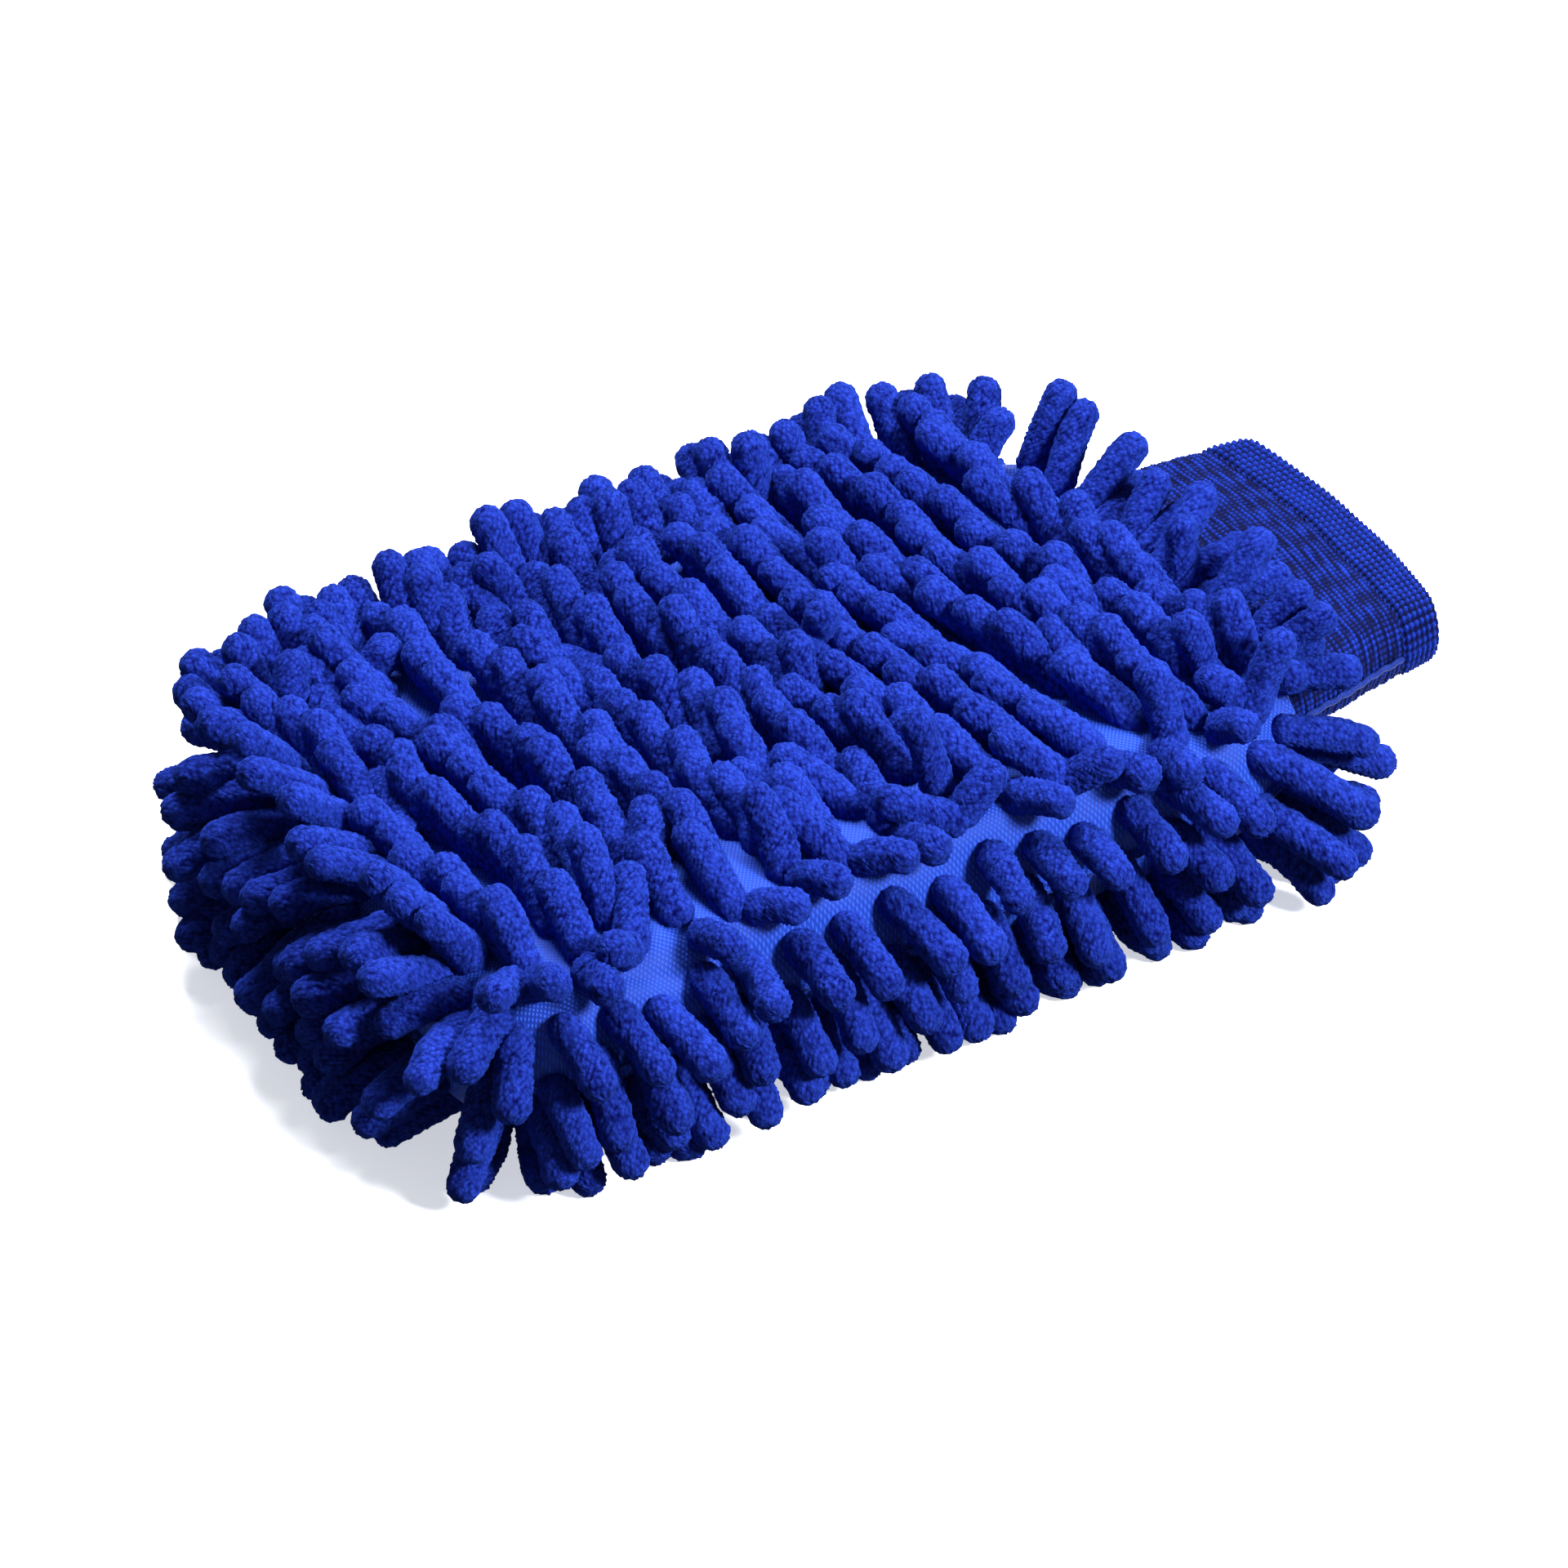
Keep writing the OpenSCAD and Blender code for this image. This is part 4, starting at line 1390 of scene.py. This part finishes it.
@dataclass
class Sewing:
    """The seam round the pocket, its stitches, the binding of the mouth and the elastic."""

    form: PocketForm
    cuff: CuffForm
    stitch: float = 3.2 * MM
    allowance: float = 1.2 * MM
    seam_points: int = 700

    def seam(self) -> None:
        """The closed seam allowance and its line of stitches."""
        t = np.linspace(0, 1, self.seam_points, endpoint=False)
        flat, _ = self.form.outline(t, -self.allowance)
        path = np.concatenate([flat, np.full((len(t), 1), self.form.seam_z)], 1)
        path[:, 2] += wave_noise(path, 26 * MM, SEED + Draw.SEAM, 2) * 0.5 * MM
        last, beside = self.form.mouth_y - 8 * MM, self.cuff.half_w + 4 * MM
        open_part = (flat[:, 1] > last) & (np.abs(flat[:, 0]) < beside)
        first = int(np.argmax(open_part))
        path = np.roll(path, -first, 0)[int(open_part.sum()):]
        band = swept("pocket seam", path, (1.3 * MM, 0.9 * MM), 10, False)
        BACKING.put_on(band)
        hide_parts("perimeter_seam")
        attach(band, "mitt")
        step = np.linalg.norm(np.diff(path, axis=0), axis=1).mean()
        per = max(2, int(self.stitch / step))
        lift = np.abs(np.sin(np.arange(len(path)) * math.pi / per)) * 0.5 * MM
        thread_path = path + unit(np.cross(np.gradient(path, axis=0), UP)) * 1.5 * MM
        thread_path[:, 2] += lift
        thread = swept("seam stitches", thread_path, (0.32 * MM, 0.3 * MM), 6, False)
        THREAD.put_on(thread)
        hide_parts("seam_thread")
        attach(thread, "mitt")
        log.info("sewing: seam of %d mm", int(step * len(path) / MM))

    def oval(self, grow: float, y: float, n: int = 160) -> np.ndarray:
        """A closed path round the cuff at y, grow outside it."""
        flat, _ = self.cuff.section(np.linspace(0, 1, n, endpoint=False), grow)
        return np.stack([flat[:, 0], np.full(n, y), flat[:, 1] + self.cuff.mid_z], 1)

    def binding(self) -> None:
        """The gathered hem round the mouth."""
        low, high = (np.array(c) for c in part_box("mouth_binding"))
        grow = high[0] - self.cuff.half_w - 1.0 * MM
        steps = 420
        path = self.oval(grow, (low[1] + high[1]) / 2, steps)
        gathers = np.sin(np.arange(steps) * 0.9) * 0.35 * MM
        path += unit(path - path.mean(0)) * gathers[:, None]
        band = swept("mouth binding", path, (1.2 * MM, 2.7 * MM), 14, True, OUT_OF_MOUTH)
        BACKING.put_on(band)
        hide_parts("mouth_binding")
        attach(band, "mitt")

    def elastic(self) -> None:
        """The threads between the two layers of the cuff."""
        for number in ELASTICS:
            node = f"cuff_elastic_{number}"
            path = self.oval(-1.75 * MM, centre_of(node)[1])
            path = self.cuff.slump(path)
            made = swept(f"elastic thread {number}", path, (0.35 * MM, 0.8 * MM), 8, True, OUT_OF_MOUTH)
            ELASTIC.put_on(made)
            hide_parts(node)
            CuffKnit.bend(made)


# ---------------------------------------------------------------- cuff


@dataclass
class CuffKnit:
    """The cuff: an outer knit layer, an inner one and the waffle hem that joins them."""

    form: CuffForm
    rib: float = 1.7 * MM
    wale: float = 1.6 * MM
    waffle: float = 2.5 * MM
    hem_wall: float = 2.9 * MM
    inner_depth: float = -3.1 * MM

    @staticmethod
    def bend(obj: bpy.types.Object) -> None:
        """Bakes the placement of a cuff piece into its mesh."""
        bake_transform(obj)

    def tube(
        self,
        name: str,
        y: np.ndarray,
        grow: np.ndarray,
        cell: float,
        pattern: Callable[[np.ndarray, np.ndarray], np.ndarray],
        depth: float,
        flip: bool,
    ) -> bpy.types.Object:
        """A knit tube with its stitches as real relief.

        Args:
            name: the object's name.
            y: places along the cuff of each ring, in metres.
            grow: how far outside the CAD surface each ring is.
            cell: distance between points round the tube.
            pattern: height of the knit, 0 to 1, from the distance round and along.
            depth: how deep the relief is.
            flip: true for a surface that faces the hand.

        Returns:
            The new object.
        """
        around = int(self.form.loop / cell)
        u = np.arange(around) / around
        rings = []
        heights = []
        gone = np.concatenate([[0], np.cumsum(np.hypot(np.diff(y), np.diff(grow)))])
        for k in range(len(y)):
            height = pattern(u * self.form.loop, np.full(around, gone[k]))
            flat, out = self.form.section(u, grow[k])
            flat = flat + out * ((height - 0.5) * depth * (-1 if flip else 1))[:, None]
            rings.append(np.stack([flat[:, 0], np.full(around, y[k]), flat[:, 1] + self.form.mid_z], 1))
            heights.append(height)
        points = self.form.slump(np.concatenate(rings))
        quads = grid_quads(len(y), around, True)
        if flip:
            quads = quads[:, ::-1]
        # the stitch heights also become the mask of painted shade between the stitches
        return make_mesh(name, points, quads, {"stitch": np.concatenate(heights)})

    def rib_pattern(self, s: np.ndarray, y: np.ndarray) -> np.ndarray:
        """Courses that run round the cuff, each a chain of small loops."""
        place = np.stack([s, y * 2.5, s * 0], 1)
        lean = wave_noise(place, 28 * MM, SEED + Draw.KNIT_LEAN, 3)
        uneven = wave_noise(place, 7 * MM, SEED + Draw.KNIT_UNEVEN, 2)
        course = 0.5 + 0.5 * np.cos(2 * math.pi * y / self.rib + 0.9 * lean)
        loops = 0.5 + 0.5 * np.cos(2 * math.pi * s / self.wale + 1.2 * lean)
        bead = np.sqrt(course * loops)
        return (0.2 * course + 0.12 * loops + (0.5 + 0.35 * uneven) * bead + 0.18 * uneven).clip(0, 1)

    def waffle_pattern(self, s: np.ndarray, y: np.ndarray) -> np.ndarray:
        """The coarse squares of the hem."""
        a = 0.5 + 0.5 * np.cos(2 * math.pi * s / self.waffle)
        b = 0.5 + 0.5 * np.cos(2 * math.pi * y / (self.waffle * 0.8))
        return (np.sqrt(a * b) * 0.8 + 0.2 * np.maximum(a, b)).clip(0, 1)

    def build(self) -> None:
        """Makes the three knit pieces and the side seam."""
        f = self.form
        y = np.arange(f.start_y, f.hem_y, 0.38 * MM)
        outer = self.tube("cuff outer knit", y, np.zeros(len(y)), 0.4 * MM, self.rib_pattern, 1.0 * MM, False)
        self.finish(outer, "cuff_outer")
        self.finish(self.hem(), "cuff_hem")
        y = np.arange(f.start_y, f.hem_y, 0.8 * MM)
        depth = np.full(len(y), self.inner_depth)
        inner = self.tube("cuff inner knit", y, depth, 0.8 * MM, self.rib_pattern, 0.5 * MM, True)
        self.finish(inner, "cuff_inner")
        self.side_seam()

    def hem(self) -> bpy.types.Object:
        """The waffle band: out along the cuff, round its lip and back inside."""
        f = self.form
        crease, proud = 0.7 * MM, 0.35 * MM
        turn = np.radians(np.arange(0, 181, 12))
        lip = f.end_y - self.hem_wall / 2
        out_y = np.arange(f.hem_y + 0.1 * MM, lip, 0.42 * MM)
        in_y = out_y[::-1]
        y = np.concatenate([out_y, lip + np.sin(turn) * self.hem_wall / 2, in_y])
        ease = ((out_y - f.hem_y) / (3 * MM)).clip(0, 1)
        outside = -crease + (crease + proud) * np.sin(ease * math.pi / 2)
        edge = proud - self.hem_wall / 2 + np.cos(turn) * self.hem_wall / 2
        grow = np.concatenate([outside, edge, np.full(len(in_y), proud - self.hem_wall)])
        return self.tube("cuff hem", y, grow, 0.44 * MM, self.waffle_pattern, 1.5 * MM, False)

    def finish(self, obj: bpy.types.Object, node: str) -> None:
        """Dresses a knit piece and bakes its placement into its mesh."""
        KNIT.put_on(obj)
        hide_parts(node)
        self.bend(obj)
        log.info("cuff: %s, %d points", obj.name, len(obj.data.vertices))

    def side_seam(self) -> None:
        """The overlocked thread along the near edge of the cuff."""
        f = self.form
        y = np.arange(f.start_y + 10 * MM, f.hem_y - 1 * MM, 0.5 * MM)
        wave = np.sin(y / (0.9 * MM)) * 0.25 * MM
        path = np.stack([np.full(len(y), f.half_w + 0.35 * MM), y, np.full(len(y), f.mid_z) + wave], 1)
        seam = swept("cuff side seam", f.slump(path), (0.7 * MM, 0.9 * MM), 8, False)
        THREAD.put_on(seam)
        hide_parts("cuff_side_seam")
        self.bend(seam)


# ---------------------------------------------------------------- the pile as pieces


@dataclass
class Pile:
    """Every noodle of the mitt, in one object for each CAD row or fringe."""

    pocket: PocketForm
    cuff: CuffForm
    cloth_reach: float = 6 * MM

    def set_in_cloth(self, plan: PilePlan, cloth: dict[Side, BVHTree]) -> None:
        """Moves each root onto the cloth as it lies after filling out."""
        for run in plan.tufts:
            for k, root in enumerate(run.roots):
                side = Side.TOP if root[2] >= self.pocket.seam_z else Side.BOTTOM
                hit = cloth[side].find_nearest(Vector(root))
                if hit[0] is not None and hit[3] < self.cloth_reach:
                    run.roots[k] = np.array(hit[0])

    def build(self, cloth: dict[Side, BVHTree]) -> None:
        """Sets out, settles and skins the pile."""
        plan = PilePlan(self.pocket, self.cuff)
        plan.lay_out()
        self.set_in_cloth(plan, cloth)
        beads = PileSettler(plan).settle()
        groups: dict[str, list[tuple[np.ndarray, np.ndarray]]] = {}
        start = 0
        for run in plan.tufts:
            part = slice(start, start + len(run.roots))
            groups.setdefault(run.node, []).append((beads[part], run.radii))
            start += len(run.roots)
        fine, coarse = NoodleSkin(), NoodleSkin(spacing=2.2 * MM, fluff=0.5 * MM, tip_rings=3)
        faces = 0
        for number, (node, parts) in enumerate(groups.items()):
            chain = np.concatenate([p[0] for p in parts])
            radii = np.concatenate([p[1] for p in parts])
            under = node.startswith("bottom_row")
            points, quads, values = (coarse if under else fine).skin(chain, radii, SEED + Draw.SKIN + number)
            points[:, 2] = np.maximum(points[:, 2], 0.0)
            made = make_mesh(node.replace("_", " ") + " noodles", points, quads, values)
            PILE.put_on(made)
            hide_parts(node)
            if "wrist" in node:
                CuffKnit.bend(made)
            else:
                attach(made, "mitt")
            faces += len(quads)
        log.info("pile: %d objects, %d faces", len(groups), faces)


# ---------------------------------------------------------------- studio


@dataclass
class Studio:
    """A pale floor, soft lamps and the camera."""

    azimuth: float = 58.0
    elevation: float = 38.5
    distance: float = 1.62
    lens: float = 150.0
    aim: tuple[float, float, float] = (-0.0005, -0.0135, 0.0215)
    lit_point: tuple[float, float, float] = (0.0, 0.0, 0.03)
    air_strength: float = 0.20
    floor_glow: float = 0.62
    backdrop_sides: int = 64
    # radius and height along the sweep of the backdrop, in metres
    backdrop_profile: tuple[tuple[float, float], ...] = (
        (0.0, 0.0), (1.0, 0.0), (3.0, 0.0), (4.4, 0.05), (5.0, 0.3), (5.4, 0.9), (5.5, 1.8), (5.5, 6.0)
    )

    def floor(self) -> None:
        """A wide pale floor that sweeps up into a backdrop all round."""
        around = np.radians(np.arange(0, 360, 360 / self.backdrop_sides))
        sweep = np.array(self.backdrop_profile)
        circle = np.stack([np.cos(around), np.sin(around), np.zeros(len(around))], 1)
        rings = [circle * radius + UP * height for radius, height in sweep]
        quads = grid_quads(len(sweep), self.backdrop_sides, True)
        made = make_mesh("floor", np.concatenate(rings), quads)
        paint = bpy.data.materials.new("floor paint")
        paint.use_nodes = True
        shader = paint.node_tree.nodes["Principled BSDF"]
        shader.inputs["Base Color"].default_value = (0.86, 0.87, 0.89, 1)
        shader.inputs["Emission Color"].default_value = (0.9, 0.93, 1.0, 1)
        shader.inputs["Emission Strength"].default_value = self.floor_glow
        shader.inputs["Roughness"].default_value = 0.9
        made.data.materials.append(paint)
        made.visible_diffuse = False
        made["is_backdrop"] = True

    def lamp(self, name: str, place: tuple[float, float, float], size: float, power: float) -> None:
        """A square soft lamp that points at the mitt.

        Args:
            name: the lamp's name.
            place: where it stands, in metres.
            size: the length of its side, in metres.
            power: how strong it is, in watts.
        """
        data = bpy.data.lights.new(name, "AREA")
        data.shape = "SQUARE"
        data.size, data.energy = size, power
        made = bpy.data.objects.new(name, data)
        bpy.context.scene.collection.objects.link(made)
        made.location = place
        made.rotation_euler = (Vector(self.lit_point) - Vector(place)).to_track_quat("-Z", "Y").to_euler()
        made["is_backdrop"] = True

    def build(self) -> None:
        """Sets up the studio."""
        scene = bpy.context.scene
        scene.view_settings.view_transform = "Standard"
        world = bpy.data.worlds.new("studio air")
        world.use_nodes = True
        back = world.node_tree.nodes["Background"]
        back.inputs["Color"].default_value = (0.95, 0.97, 1.0, 1)
        back.inputs["Strength"].default_value = self.air_strength
        scene.world = world
        self.floor()
        self.lamp("key", (-0.7, 0.18, 1.38), 0.55, 47)
        self.lamp("side", (1.15, 0.6, 0.95), 0.35, 49)
        self.camera()

    def camera(self) -> None:
        """Stands the camera above the near side and points it at the mitt."""
        scene = bpy.context.scene
        data = bpy.data.cameras.new("camera")
        data.lens = self.lens
        data.clip_end = 50
        made = bpy.data.objects.new("camera", data)
        scene.collection.objects.link(made)
        scene.camera = made
        a, e = math.radians(self.azimuth), math.radians(self.elevation)
        back_way = Vector((math.sin(a) * math.cos(e), -math.cos(a) * math.cos(e), math.sin(e)))
        made.location = Vector(self.aim) + back_way * self.distance
        made.rotation_mode = "QUATERNION"
        made.rotation_quaternion = (-back_way).to_track_quat("-Z", "Y")


def write_size() -> None:
    """Logs the size of the shown objects."""
    bpy.context.view_layer.update()
    boxes = {"cad": CAD_BOX, "visual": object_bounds()}
    low, high = boxes["visual"]
    log.info("size: %s mm", [round((b - a) / MM, 1) for a, b in zip(low, high, strict=True)])


def main() -> None:
    """Builds the mitt and its studio."""
    pocket, cuff = PocketForm(), CuffForm()
    cloth = Pocket(pocket, cuff).build()
    sewing = Sewing(pocket, cuff)
    sewing.seam()
    sewing.binding()
    sewing.elastic()
    CuffKnit(cuff).build()
    Pile(pocket, cuff).build(cloth)
    Studio().build()
    write_size()


if __name__ == "__main__":
    main()
